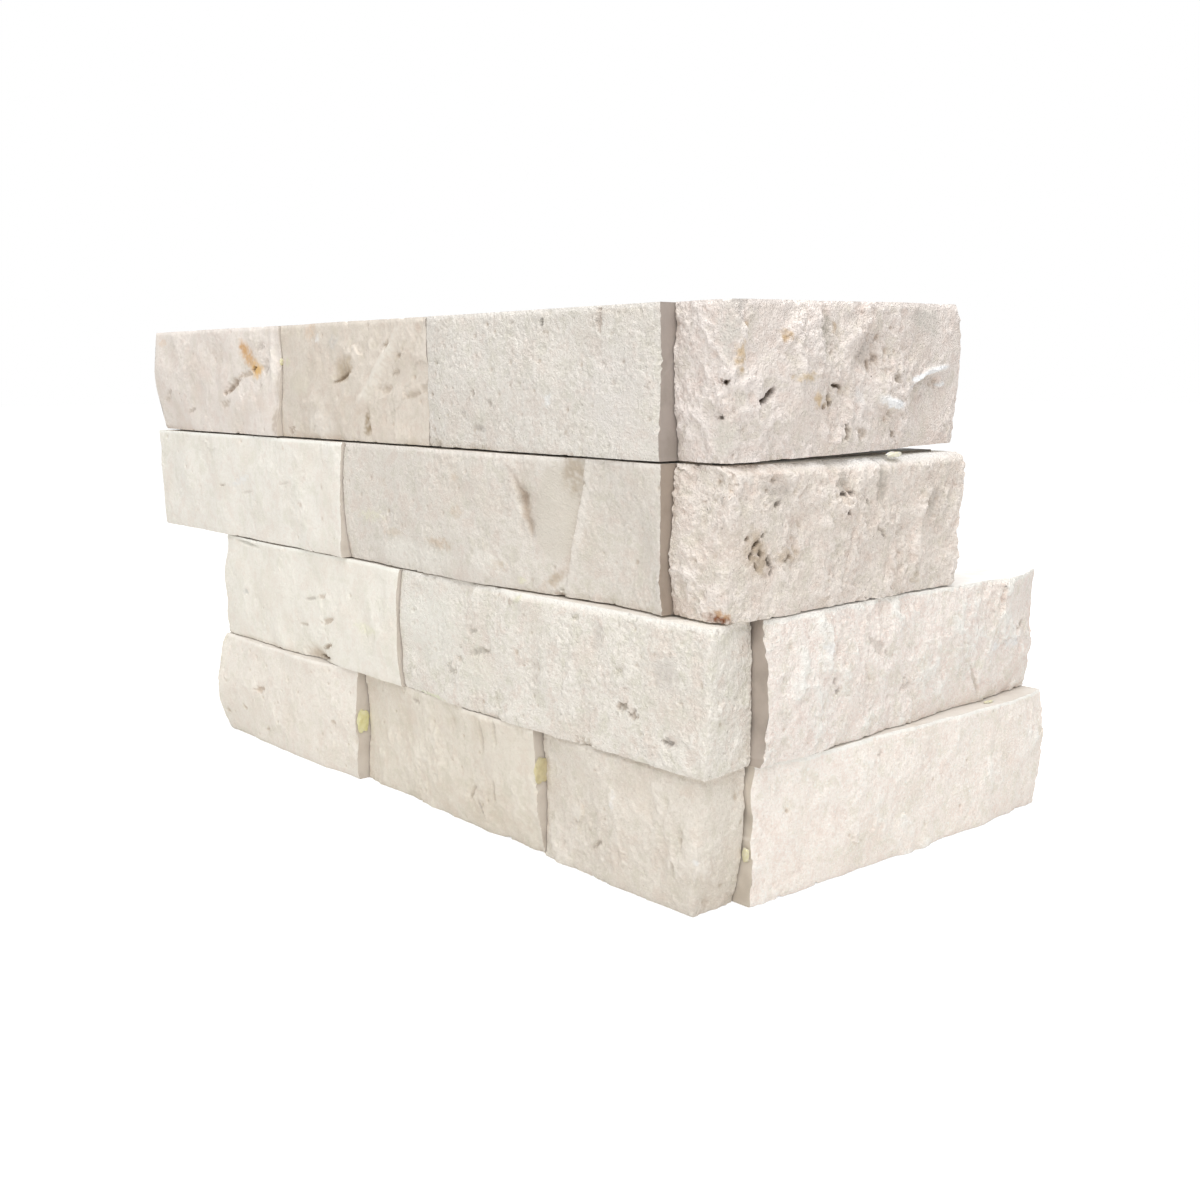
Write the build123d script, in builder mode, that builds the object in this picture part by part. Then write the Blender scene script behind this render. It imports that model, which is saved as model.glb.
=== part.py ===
"""Interlocking ledger corner: split-faced stone strips glued into an L-shaped panel.

Units are millimetres. The origin is the foot of the wall's corner edge, where the sawn backs of the
two legs meet. The long leg runs along -X with its back on the plane y = 0, the short leg runs along
+Y with its back on the plane x = 0, and +Z is up the wall. Courses are counted from the bottom.
In courses 1 and 2 the long leg runs through to the outer corner, in courses 3 and 4 the short leg does.
"""

from build123d import *
from math import comb, degrees, atan2
import os

# Panel sizes
STRIP_HEIGHT = 37.15  # every strip is sawn to this height
BED_JOINTS = {1: 0.3, 2: 0.5, 3: 0.6}  # resin bed on the head of each course
BUTT_JOINT = 0.4  # resin between two stones of a course
THICKNESS = 16.0  # sawn back to the nominal plane of the split face
LONG_REACH = 284.0  # upper courses, corner edge to the sawn free end of the long leg
SHORT_REACH = 134.0  # lower courses, corner edge to the sawn free end of the short leg
LONG_STEP = 50.0  # the lower courses stop this much short of the upper ones on the long leg
SHORT_STEP = 50.0  # the upper courses stop this much short of the lower ones on the short leg
UPPER_COURSES = (3, 4)

# Lengths of the stones that don't reach the corner, from the free end; the last stone fills the course
LONG_STONES = {1: (91.5, 95.5), 2: (120.5,), 3: (138.5,), 4: (96.0, 88.0)}

# Course 3's short strip has the arris between its head and its face broken off at a slope
BROKEN_COURSE = 3
ARRIS_WIDTH = 3.0
ARRIS_DROP = 2.1
ARRIS_INSET = 0.4  # how far behind the nominal plane of the face the slope starts

# Course 4's short strip is laid out of level: it climbs from the corner to its free end
CLIMBING_COURSE = 4
END_CLIMB = 1.8

# Resin: the beds and uprights stop short of the split face, so a shadow gap shows between the strips
RESIN_SETBACK = 6.0
RESIN_MARGIN = 1.0  # how far the resin stops short of the backs, and the uprights of the beds

# The split faces, in millimetres proud of the nominal plane. Each is a smooth patch, given along the
# foot of the strip, then at mid-height, then along its head, from left to right as seen from outside.
LONG_RELIEF = {
    (1, 1): ((0.8, 1.9, 2.1, -0.5), (6.0, 3.5, 2.5, 0.5), (0.5, 1.5, 1.0, -1.0)),
    (1, 2): ((-3.5, -2.0, -1.5, -2.4), (-4.6, -1.5, 1.0, 1.2), (-3.0, -1.0, 1.0, 2.6)),
    (1, 3): ((-1.0, 0.2, -0.5, 1.0), (-2.7, 0.5, 1.2, 1.0), (-0.5, 0.0, -0.5, -0.5)),
    (2, 1): ((-0.4, 0.9, 0.5, 1.2, 0.8), (0.5, 1.0, 0.8, 1.5, 2.8), (-0.3, 0.3, 0.5, 0.5, 1.2)),
    (2, 2): ((0.0, 2.8, 4.0, 3.2, 2.8), (2.2, 2.5, 3.2, 2.6, 2.0), (0.8, 2.0, 2.4, 1.6, 2.0)),
    (3, 1): ((0.5, 0.3, 0.5, 1.0, 2.5), (1.0, 1.5, 1.0, 1.8, 2.6), (1.3, 1.0, 0.5, 1.0, 1.2)),
    (3, 2): ((-1.5, 1.6, 1.6, -1.8, -0.2), (1.6, 1.8, 3.0, -0.8, 0.9), (-0.2, 1.0, 1.6, 1.0, 1.2)),
    (4, 1): ((-3.2, 0.0, 0.5, 1.5), (1.8, 1.8, 0.6, -0.5), (1.4, 0.5, 0.0, -0.7)),
    (4, 2): ((-1.0, -1.2, -0.2, -1.6), (-1.8, 0.6, -0.8, -0.8), (-1.8, -0.6, 0.4, -0.7)),
    (4, 3): ((-1.8, 0.4, 1.0, 1.5), (-0.9, 1.4, 1.6, 1.0), (-0.7, 0.6, 1.0, 2.1)),
}
SHORT_RELIEF = {
    1: ((1.4, 1.7, 1.8, 2.0, 0.6), (0.3, 2.6, 3.0, 3.0, 2.0), (0.8, 1.6, 1.8, 3.0, -0.4)),
    2: ((2.9, 1.2, -1.2, -3.2, -7.0), (4.9, 3.4, 1.6, 0.4, -5.0), (1.3, 0.6, 0.5, 1.2, -4.5)),
    3: ((2.3, 2.5, 1.2, 0.3, -0.8), (4.6, 2.6, 3.0, 2.2, 1.1), (0.0, 2.6, 1.4, 1.6, 0.3)),
    4: ((-0.4, 1.6, 1.4, -0.4, -3.4), (1.6, 2.8, 3.0, 1.4, -3.0), (3.6, 2.2, 2.2, 0.2, -3.7)),
}
CORNER_END_RELIEF = {
    1: ((-3.0, -3.6, -5.4), (-0.8, -1.4, -2.1), (-1.2, -1.2, -2.1)),
    2: ((2.6, 1.4, -1.2), (3.6, 2.2, -0.6), (2.4, 2.2, -2.4)),
    3: ((-4.0, -2.6, -4.6), (-3.5, -2.4, -4.4), (-4.3, -3.0, -1.8)),
    4: ((-5.4, -3.8, -4.2), (-3.5, -2.4, -3.8), (-4.0, -3.0, -4.4)),
}
RELIEF_ROOM = 9.0  # stock left in front of the nominal plane for the cleft to run through
PATCH_OVERRUN = 2.0  # how far a cleft patch runs past the stone on every side

COURSES = tuple(sorted(LONG_STONES))


def foot(course):
    """Height of the underside of a course."""
    return sum(STRIP_HEIGHT + BED_JOINTS[below] for below in COURSES if below < course)


def long_span(course):
    """Start and end of the long leg of a course along X."""
    if course in UPPER_COURSES:
        return -LONG_REACH, -BUTT_JOINT
    return -(LONG_REACH - LONG_STEP), THICKNESS


def short_span(course):
    """Start and end of the short leg of a course along Y."""
    if course in UPPER_COURSES:
        return -THICKNESS, SHORT_REACH - SHORT_STEP
    return BUTT_JOINT, SHORT_REACH


def blend(controls, share):
    """Height at a share of the way along a smooth curve with evenly spaced control heights."""
    degree = len(controls) - 1
    return sum(
        comb(degree, k) * share**k * (1 - share) ** (degree - k) * control
        for k, control in enumerate(controls)
    )


def through(heights):
    """Control heights that make the smooth curve pass through the given, evenly spaced heights."""
    controls = list(heights)
    last = len(heights) - 1
    for _ in range(60):
        for k, height in enumerate(heights):
            controls[k] += height - blend(controls, k / last)
    return controls


def cleft(start, end, base, relief, to_world):
    """A smooth patch through a strip's relief heights, from start to end along the leg."""
    low, high = base - PATCH_OVERRUN, base + STRIP_HEIGHT + PATCH_OVERRUN
    left, right = start - PATCH_OVERRUN, end + PATCH_OVERRUN
    along_rows = [through(row) for row in relief]
    control_columns = [through(column) for column in zip(*along_rows)]
    control_rows = list(zip(*control_columns))
    points = []
    for row, controls in enumerate(control_rows):
        z = low + (high - low) * row / (len(control_rows) - 1)
        step = (right - left) / (len(controls) - 1)
        points.append([to_world(left + step * k, proud, z) for k, proud in enumerate(controls)])
    return Face.make_bezier_surface(points)


def on_long_face(along, proud, z):
    """Point on the long leg's face side."""
    return Vector(along, -(THICKNESS + proud), z)


def on_short_face(along, proud, z):
    """Point on the short leg's face side."""
    return Vector(THICKNESS + proud, along, z)


def long_stone(course, number, start, end):
    """One strip of the long leg; the last of a lower course also has a split end at the corner."""
    reaches_corner = end > 0
    stock_end = end + RELIEF_ROOM if reaches_corner else end
    base = foot(course)
    with BuildPart() as stone:
        with BuildSketch(Plane.XY.offset(base)):
            with Locations((start, 0)):
                Rectangle(stock_end - start, THICKNESS + RELIEF_ROOM, align=(Align.MIN, Align.MAX))
        extrude(amount=STRIP_HEIGHT)
        face = cleft(start, stock_end, base, LONG_RELIEF[course, number], on_long_face)
        split(bisect_by=face, keep=Keep.TOP)
        if reaches_corner:
            end_face = cleft(-THICKNESS - RELIEF_ROOM, 0, base, CORNER_END_RELIEF[course], on_short_face)
            split(bisect_by=end_face, keep=Keep.TOP)
    stone.part.label = f"course_{course}_long_stone_{number}"
    return stone.part


def short_stone(course, start, end):
    """The strip of the short leg; in an upper course it also has a split end at the corner."""
    reaches_corner = start < 0
    stock_start = start - RELIEF_ROOM if reaches_corner else start
    base = foot(course)
    with BuildPart() as stone:
        with BuildSketch(Plane.XY.offset(base)):
            with Locations((0, stock_start)):
                Rectangle(THICKNESS + RELIEF_ROOM, end - stock_start, align=(Align.MIN, Align.MIN))
        extrude(amount=STRIP_HEIGHT)
        face = cleft(stock_start, end, base, SHORT_RELIEF[course], on_short_face)
        split(bisect_by=face, keep=Keep.TOP)
        if reaches_corner:
            end_face = cleft(0, THICKNESS + RELIEF_ROOM, base, CORNER_END_RELIEF[course], on_long_face)
            split(bisect_by=end_face, keep=Keep.TOP)
        if course == BROKEN_COURSE:
            start_of_slope = (THICKNESS - ARRIS_INSET, 0, base + STRIP_HEIGHT)
            slope = Plane(origin=start_of_slope, x_dir=(0, 1, 0), z_dir=(ARRIS_DROP, 0, ARRIS_WIDTH))
            split(bisect_by=slope, keep=Keep.BOTTOM)
    laid = stone.part
    if course == CLIMBING_COURSE:
        outer_corner = Axis((0, start, base), (1, 0, 0))
        laid = laid.rotate(outer_corner, degrees(atan2(END_CLIMB, end - start)))
    laid.label = f"course_{course}_short_stone"
    return laid


def joints_in(course):
    """The upright resin joints of a course's long leg, as positions along X of their left side."""
    position = long_span(course)[0]
    found = []
    for length in LONG_STONES[course]:
        position += length
        found.append(position)
        position += BUTT_JOINT
    return found


def course_stones(course):
    """All the strips of one course, long leg first."""
    start, end = long_span(course)
    stones = []
    for number, joint in enumerate(joints_in(course), start=1):
        stones.append(long_stone(course, number, start, joint))
        start = joint + BUTT_JOINT
    stones.append(long_stone(course, len(stones) + 1, start, end))
    stones.append(short_stone(course, *short_span(course)))
    return stones


def upright_resin(course):
    """The resin films between the stones of a course, and at the corner, as one set of solids."""
    depth = THICKNESS - RESIN_SETBACK - RESIN_MARGIN
    with BuildPart() as films:
        with BuildSketch(Plane.XY.offset(foot(course) + RESIN_MARGIN)):
            with Locations(*[(joint, -RESIN_MARGIN) for joint in joints_in(course)]):
                Rectangle(BUTT_JOINT, depth, align=(Align.MIN, Align.MAX))
            if course in UPPER_COURSES:
                with Locations((-BUTT_JOINT, -RESIN_MARGIN)):
                    Rectangle(BUTT_JOINT, depth, align=(Align.MIN, Align.MAX))
            else:
                with Locations((RESIN_MARGIN, 0)):
                    Rectangle(depth, BUTT_JOINT, align=(Align.MIN, Align.MIN))
        extrude(amount=STRIP_HEIGHT - 2 * RESIN_MARGIN)
    films.part.label = f"resin_uprights_{course}"
    return films.part


def bed_resin(course):
    """The L-shaped resin film on the head of a course, where the next course lies on it."""
    long_start = max(long_span(course)[0], long_span(course + 1)[0])
    short_end = min(short_span(course)[1], short_span(course + 1)[1])
    outer = THICKNESS - RESIN_SETBACK
    inner = RESIN_MARGIN
    with BuildPart() as film:
        with BuildSketch(Plane.XY.offset(foot(course) + STRIP_HEIGHT)):
            with Locations((long_start + RESIN_SETBACK, -inner)):
                Rectangle(outer - long_start - RESIN_SETBACK, outer - inner, align=(Align.MIN, Align.MAX))
            with Locations((inner, -outer)):
                Rectangle(outer - inner, outer + short_end - RESIN_SETBACK, align=(Align.MIN, Align.MIN))
        extrude(amount=BED_JOINTS[course])
    film.part.label = f"resin_bed_{course}"
    return film.part


def build():
    """Every piece of the panel, bottom course first."""
    pieces = []
    for course in COURSES:
        pieces += course_stones(course)
        pieces.append(upright_resin(course))
    for course in COURSES[:-1]:
        pieces.append(bed_resin(course))
    return pieces


os.makedirs("parts", exist_ok=True)
for piece in build():
    export_step(piece, f"parts/{piece.label}.step")
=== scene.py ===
"""Dressed scene of an interlocking ledger corner: split-faced limestone strips glued into an L.

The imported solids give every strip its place, its size and the main form of its split face. Each strip
is modelled again here with the fine relief of cleft limestone, and stands for its solid.

The scene is in metres. What a person would measure on the stone is written in millimetres: along the
leg (x on the long leg, y on the short leg), up the wall (z), and out from the sawn back.
"""

import logging
import math
from dataclasses import dataclass, field
from enum import Enum

import bpy
import numpy as np
from mathutils import Matrix, Vector
from mathutils.bvhtree import BVHTree


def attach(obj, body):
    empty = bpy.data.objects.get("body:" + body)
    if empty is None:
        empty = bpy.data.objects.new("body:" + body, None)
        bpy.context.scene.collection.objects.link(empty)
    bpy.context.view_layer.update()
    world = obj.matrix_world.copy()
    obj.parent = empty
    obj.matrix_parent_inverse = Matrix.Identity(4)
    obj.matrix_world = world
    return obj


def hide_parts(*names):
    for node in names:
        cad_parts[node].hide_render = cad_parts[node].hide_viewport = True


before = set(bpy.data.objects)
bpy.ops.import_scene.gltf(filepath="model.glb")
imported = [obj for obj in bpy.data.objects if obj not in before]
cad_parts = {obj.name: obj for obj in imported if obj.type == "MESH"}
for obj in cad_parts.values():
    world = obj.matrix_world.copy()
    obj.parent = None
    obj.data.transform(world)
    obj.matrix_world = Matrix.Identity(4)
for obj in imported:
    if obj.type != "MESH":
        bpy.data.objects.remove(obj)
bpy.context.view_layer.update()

MM = 0.001
THICKNESS = 16.0  # sawn back to the nominal plane of the split face
CELL = 0.37  # side of one face of the split surface, fine enough for the grain to show
BAY = 18.5  # the split face is ruled into bays this size before it is divided
LEVEL = 1e-3  # places this close to a plane lie on it
RIM = 0.15  # rays stay this far inside a solid's rim, so that they meet its face
CLEAR = 60.0  # rays start this far out, clear of the stone

# levels of 255 that the enlarged picture showed as black and as white
STRETCH_LOW, STRETCH_HIGH = 140, 250
DARK_HOLE = 0x70  # a colour read with every channel below this is the floor of a dark hole
HOLE_SHADE = 0.72

log = logging.getLogger("ledger_corner")


class Leg(Enum):
    """Which leg of the corner a strip lies in."""

    LONG = "long"
    SHORT = "short"


class MarkKind(Enum):
    """How a feature placed on a split face is shaped."""

    PIT = "steep hole with an uneven outline"
    SCOOP = "smooth bowl"
    RIDGE = "crest that stands out"
    CHIP = "flake knocked off, deepest in the middle"
    STEP = "sharp drop on one side of a line, fading out away from it"
    FACET = "place that split flat and smooth"
    # colour alone: a real stain on some stones, painted shade or painted highlight on others
    STAIN_OR_PAINTED_LIGHT = "colour alone"


PIT, SCOOP, RIDGE, CHIP, STEP, FACET, STAIN_OR_PAINTED_LIGHT = MarkKind


@dataclass(frozen=True)
class Mark:
    """One feature placed on a split face, in mm.

    along and up are its middle, wide and tall its half sizes, depth how far it goes in (a ridge comes
    out by it), turn its lean in degrees, anticlockwise as seen from outside, colour its colour in sRGB
    hex where it has one, on some marks painted shade or painted highlight, and cover how strongly that
    shows. edge is how wide the drop of a step is.
    """

    kind: MarkKind
    along: float
    up: float
    wide: float
    tall: float
    depth: float = 0.0
    turn: float = 0.0
    colour: str = ""
    cover: float = 0.7
    edge: float = 0.5


def marks(*rows: tuple) -> tuple[Mark, ...]:
    """The marks of one stone, each row giving the fields of Mark in their order."""
    return tuple(Mark(*row) for row in rows)


def plain(stretched: str) -> str:
    """Undoes the stretched contrast of the enlarged picture that a colour was read from.

    Args:
        stretched: The colour as it was read, six hex digits, red first.

    Returns:
        The colour on the stone, in sRGB hex; that of the darkest holes is darkened further, as their
        floors are in shade.
    """
    read = [int(stretched[k : k + 2], 16) for k in (0, 2, 4)]
    tones = [round(STRETCH_LOW + x * (STRETCH_HIGH - STRETCH_LOW) / 255) for x in read]
    if max(read) < DARK_HOLE:
        tones = [round(x * HOLE_SHADE) for x in tones]
    return "".join(f"{x:02X}" for x in tones)


@dataclass(frozen=True)
class Cleft:
    """How roughly a stone split: the height in mm of each size of its relief.

    broad is the slow swell, facet the flake scars about 9 mm across, crest the sharp crests between
    them, nibble the scars of about 3 mm, grit the crystals and pitted the depth of the pores. calm is
    the share of the face that split smoothly, drawn how many times taller than wide the scars are,
    lean their slant in degrees, specks the share of places with a small round hole, and side how much
    rougher the face gets towards its right end.
    """

    seed: int
    broad: float = 0.8
    facet: float = 0.6
    crest: float = 0.12
    nibble: float = 0.25
    grit: float = 0.08
    pitted: float = 0.15
    calm: float = 0.5
    drawn: float = 1.3
    lean: float = 0.0
    specks: float = 0.04
    side: float = 0.0


def linear(hex_colour: str) -> tuple[float, float, float, float]:
    """Turns an sRGB hex colour to a linear one.

    Args:
        hex_colour: Six hex digits, red first.

    Returns:
        Red, green, blue and alpha, as a shader socket takes them.
    """
    parts = [int(hex_colour[k : k + 2], 16) / 255 for k in (0, 2, 4)]
    flat = [c / 12.92 if c <= 0.04045 else ((c + 0.055) / 1.055) ** 2.4 for c in parts]
    return (*flat, 1.0)


def add_node(tree: bpy.types.NodeTree, kind: str, settings: dict | None = None, **sockets) -> bpy.types.Node:
    """Adds a shader node with its settings and what goes into it.

    Args:
        tree: The node tree it goes into.
        kind: The node's type name.
        settings: Values of the node's own properties, by name.
        **sockets: Input by name, with spaces as underscores, or i0, i1 and so on by place; a socket
            is linked and anything else is set as the value.

    Returns:
        The new node.
    """
    made = tree.nodes.new(kind)
    for name, value in (settings or {}).items():
        setattr(made, name, value)
    for name, value in sockets.items():
        place = int(name[1:]) if name[0] == "i" and name[1:].isdigit() else name.replace("_", " ")
        socket = made.inputs[place]
        if isinstance(value, bpy.types.NodeSocket):
            tree.links.new(value, socket)
        else:
            socket.default_value = value
    return made


def washed(
    tree: bpy.types.NodeTree,
    under: bpy.types.NodeSocket | tuple,
    over: bpy.types.NodeSocket | tuple,
    pattern: bpy.types.NodeSocket,
    low: float,
    high: float,
    strength: float,
) -> bpy.types.NodeSocket:
    """Lays a thin wash of one colour over another where a pattern is strong.

    Args:
        tree: The material's node tree.
        under: The colour so far.
        over: The colour of the wash.
        pattern: What says where the wash lies.
        low: Where in the pattern it starts.
        high: Where in the pattern it is full.
        strength: How much it covers there, from 0 to 1.

    Returns:
        The colour with its wash.
    """
    spread = add_node(
        tree, "ShaderNodeMapRange", {"interpolation_type": "SMOOTHSTEP"},
        Value=pattern, From_Min=low, From_Max=high, To_Max=strength,
    )
    return add_node(
        tree, "ShaderNodeMix", {"data_type": "RGBA"}, i0=spread.outputs[0], i6=under, i7=over
    ).outputs[2]


def tinted(colour: tuple, red: float, green: float, blue: float) -> tuple[float, float, float, float]:
    """A linear colour times a factor for each channel, kept under 1."""
    return (min(1.0, colour[0] * red), min(1.0, colour[1] * green), min(1.0, colour[2] * blue), 1.0)


@dataclass(frozen=True)
class SplitLimestone:
    """Cream limestone, cleft by hand: matt and finely crystalline, with painted highlight on its crests.

    ground is the stone's own colour, and the other tones follow from it. patchiness is how strongly the
    broad warm patches show, dapple the smaller rosy and grey ones, streaks the upright bedding, mottle
    the grain, painted_hollow_shade how strongly the painted brown shade in the hollows shows, and grain how
    strongly the crystals stand out.
    """

    ground: str = "E8DFD4"
    patchiness: float = 0.6
    dapple: float = 0.5
    streaks: float = 0.3
    mottle: float = 0.5
    painted_hollow_shade: float = 0.7
    grain: float = 0.4

    def material(self, name: str) -> bpy.types.Material:
        """Makes the material.

        Args:
            name: The stone's name.

        Returns:
            The node-based material.
        """
        made = bpy.data.materials.new(f"split_limestone_{name}")
        made.use_nodes = True
        tree = made.node_tree
        tree.nodes.clear()
        place = add_node(tree, "ShaderNodeTexCoord").outputs["Object"]
        # crystals of 0.9 mm and 0.55 mm catch the light singly, so the cleft glitters faintly
        coarse = add_node(
            tree, "ShaderNodeTexNoise", Vector=place, Scale=1 / (0.9 * MM), Detail=3.0, Roughness=0.6
        )
        fine = add_node(tree, "ShaderNodeTexVoronoi", Vector=place, Scale=1 / (0.55 * MM))
        rough = add_node(
            tree, "ShaderNodeBump", Strength=self.grain, Distance=0.28 * MM, Height=coarse.outputs[0]
        )
        crystals = add_node(
            tree, "ShaderNodeBump", Strength=0.9 * self.grain, Distance=0.2 * MM,
            Height=fine.outputs[0], Normal=rough.outputs[0],
        )
        shader = add_node(
            tree, "ShaderNodeBsdfPrincipled",
            Base_Color=self._colour(tree, place), Roughness=0.86, IOR=1.5, Normal=crystals.outputs[0],
        )
        add_node(tree, "ShaderNodeOutputMaterial", Surface=shader.outputs[0])
        return made

    def _colour(self, tree: bpy.types.NodeTree, place: bpy.types.NodeSocket) -> bpy.types.NodeSocket:
        """The colour of the cleft: ground, patches, streaks, grain, painted highlight on the crests, painted
        shade in the hollows, and stains and painted light set mark by mark.

        Args:
            tree: The material's node tree.
            place: Object coordinates.

        Returns:
            The colour's socket.
        """
        ground = linear(self.ground)
        warm, rosy = tinted(ground, 0.89, 0.85, 0.81), tinted(ground, 0.93, 0.88, 0.86)
        grey, pale = tinted(ground, 0.88, 0.885, 0.84), tinted(ground, 1.1, 1.11, 1.13)
        brown = tinted(ground, 0.62, 0.54, 0.46)
        # warm patches about 16 mm across
        broad = add_node(
            tree, "ShaderNodeTexNoise", Vector=place, Scale=1 / (16 * MM), Detail=4.0, Roughness=0.6
        )
        colour = washed(tree, ground, warm, broad.outputs[0], 0.45, 0.7, self.patchiness)
        # rosy and grey dapples about 5 mm across
        dapples = add_node(
            tree, "ShaderNodeTexNoise", Vector=place, Scale=1 / (5 * MM), Detail=3.0, Roughness=0.65
        )
        colour = washed(tree, colour, rosy, dapples.outputs[0], 0.5, 0.66, self.dapple)
        colour = washed(tree, colour, grey, dapples.outputs[0], 0.5, 0.34, self.dapple)
        # bedding streaks about 2 mm wide and 12 mm tall
        drawn_out = add_node(tree, "ShaderNodeMapping", Vector=place, Scale=(1.0, 1.0, 0.18))
        bedding = add_node(
            tree, "ShaderNodeTexNoise",
            Vector=drawn_out.outputs[0], Scale=1 / (2.2 * MM), Detail=3.0, Roughness=0.65,
        )
        colour = washed(tree, colour, warm, bedding.outputs[0], 0.5, 0.75, self.streaks)
        # grain of 0.8 mm and finer, darker and lighter
        grain = add_node(
            tree, "ShaderNodeTexNoise", Vector=place, Scale=1 / (0.8 * MM), Detail=4.0, Roughness=0.85
        )
        dark = tinted(ground, 0.81, 0.79, 0.77)
        colour = washed(tree, colour, dark, grain.outputs[0], 0.52, 0.7, self.mottle)
        colour = washed(tree, colour, pale, grain.outputs[0], 0.48, 0.32, self.mottle)
        depth = add_node(tree, "ShaderNodeAttribute", {"attribute_name": "hollow"}).outputs["Fac"]
        # painted highlight on the crests and painted brown shade in the hollows, where the hollow attribute
        # says
        colour = washed(tree, colour, pale, depth, -0.1, -0.8, 0.65)
        colour = washed(tree, colour, brown, depth, 0.3, 1.3, self.painted_hollow_shade)
        # stains and marks of painted shade and painted highlight, set one by one and already weighted by how
        # much each covers
        stain_and_painted_light = add_node(tree, "ShaderNodeAttribute", {"attribute_name": "stain_and_painted_light"})
        bare = add_node(
            tree, "ShaderNodeMix", {"data_type": "RGBA"},
            i0=stain_and_painted_light.outputs["Alpha"], i6=colour, i7=(0, 0, 0, 1),
        )
        return add_node(
            tree, "ShaderNodeMix", {"data_type": "RGBA", "blend_type": "ADD"},
            i0=1.0, i6=bare.outputs[2], i7=stain_and_painted_light.outputs["Color"],
        ).outputs[2]


@dataclass(frozen=True)
class SawnLimestone:
    """The same limestone cut by a diamond blade: smooth, dull, with faint blade lines and set slurry."""

    ground: str = "DAD2C8"
    cloud: str = "CBC1B5"
    blade_pitch: float = 1.6  # mm between the lines that show

    def material(self, name: str) -> bpy.types.Material:
        """Makes the material, named for the stone or the use that it is given."""
        made = bpy.data.materials.new(f"sawn_limestone_{name}")
        made.use_nodes = True
        tree = made.node_tree
        tree.nodes.clear()
        place = add_node(tree, "ShaderNodeTexCoord").outputs["Object"]
        ground, cloud = linear(self.ground), linear(self.cloud)
        clouds = add_node(
            tree, "ShaderNodeTexNoise", Vector=place, Scale=1 / (9 * MM), Detail=5.0, Roughness=0.6
        )
        colour = washed(tree, ground, cloud, clouds.outputs[0], 0.4, 0.7, 1.0)
        specks = add_node(tree, "ShaderNodeTexNoise", Vector=place, Scale=1 / (0.5 * MM), Detail=2.0)
        colour = washed(tree, colour, cloud, specks.outputs[0], 0.58, 0.75, 0.25)
        # blade lines run along the strip, so they are thin across z and long across x and y
        ruled = add_node(tree, "ShaderNodeMapping", Vector=place, Scale=(0.02, 0.02, 1.0))
        lines = add_node(
            tree, "ShaderNodeTexNoise", Vector=ruled.outputs[0], Scale=1 / (self.blade_pitch * MM), Detail=2.0
        )
        scored = add_node(tree, "ShaderNodeBump", Strength=0.3, Distance=0.05 * MM, Height=lines.outputs[0])
        dusty = add_node(
            tree, "ShaderNodeBump", Strength=0.25, Distance=0.05 * MM, Height=specks.outputs[0],
            Normal=scored.outputs[0],
        )
        shader = add_node(
            tree, "ShaderNodeBsdfPrincipled",
            Base_Color=colour, Roughness=0.72, IOR=1.5, Normal=dusty.outputs[0],
        )
        add_node(tree, "ShaderNodeOutputMaterial", Surface=shader.outputs[0])
        return made


@dataclass(frozen=True)
class StoneResin:
    """Polyester stone adhesive, squeezed out and set: waxy yellow-green, half clear and glossy."""

    body: str = "D9D79A"
    deep: str = "B9B566"

    def material(self, name: str) -> bpy.types.Material:
        """Makes the material, named for the use that it is given."""
        made = bpy.data.materials.new(f"stone_resin_{name}")
        made.use_nodes = True
        tree = made.node_tree
        tree.nodes.clear()
        place = add_node(tree, "ShaderNodeTexCoord").outputs["Object"]
        # clouds of 2 mm, where the paste is mixed unevenly or has stone dust in it
        mixed = add_node(tree, "ShaderNodeTexNoise", Vector=place, Scale=1 / (2 * MM), Detail=3.0)
        colour = washed(tree, linear(self.body), linear(self.deep), mixed.outputs[0], 0.35, 0.7, 1.0)
        waves = add_node(tree, "ShaderNodeBump", Strength=0.3, Distance=0.1 * MM, Height=mixed.outputs[0])
        shader = add_node(
            tree, "ShaderNodeBsdfPrincipled", Base_Color=colour, Roughness=0.38, IOR=1.54,
            Subsurface_Weight=0.4, Subsurface_Radius=(1.0, 0.9, 0.4), Subsurface_Scale=1.5 * MM,
            Normal=waves.outputs[0],
        )
        add_node(tree, "ShaderNodeOutputMaterial", Surface=shader.outputs[0])
        return made


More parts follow.
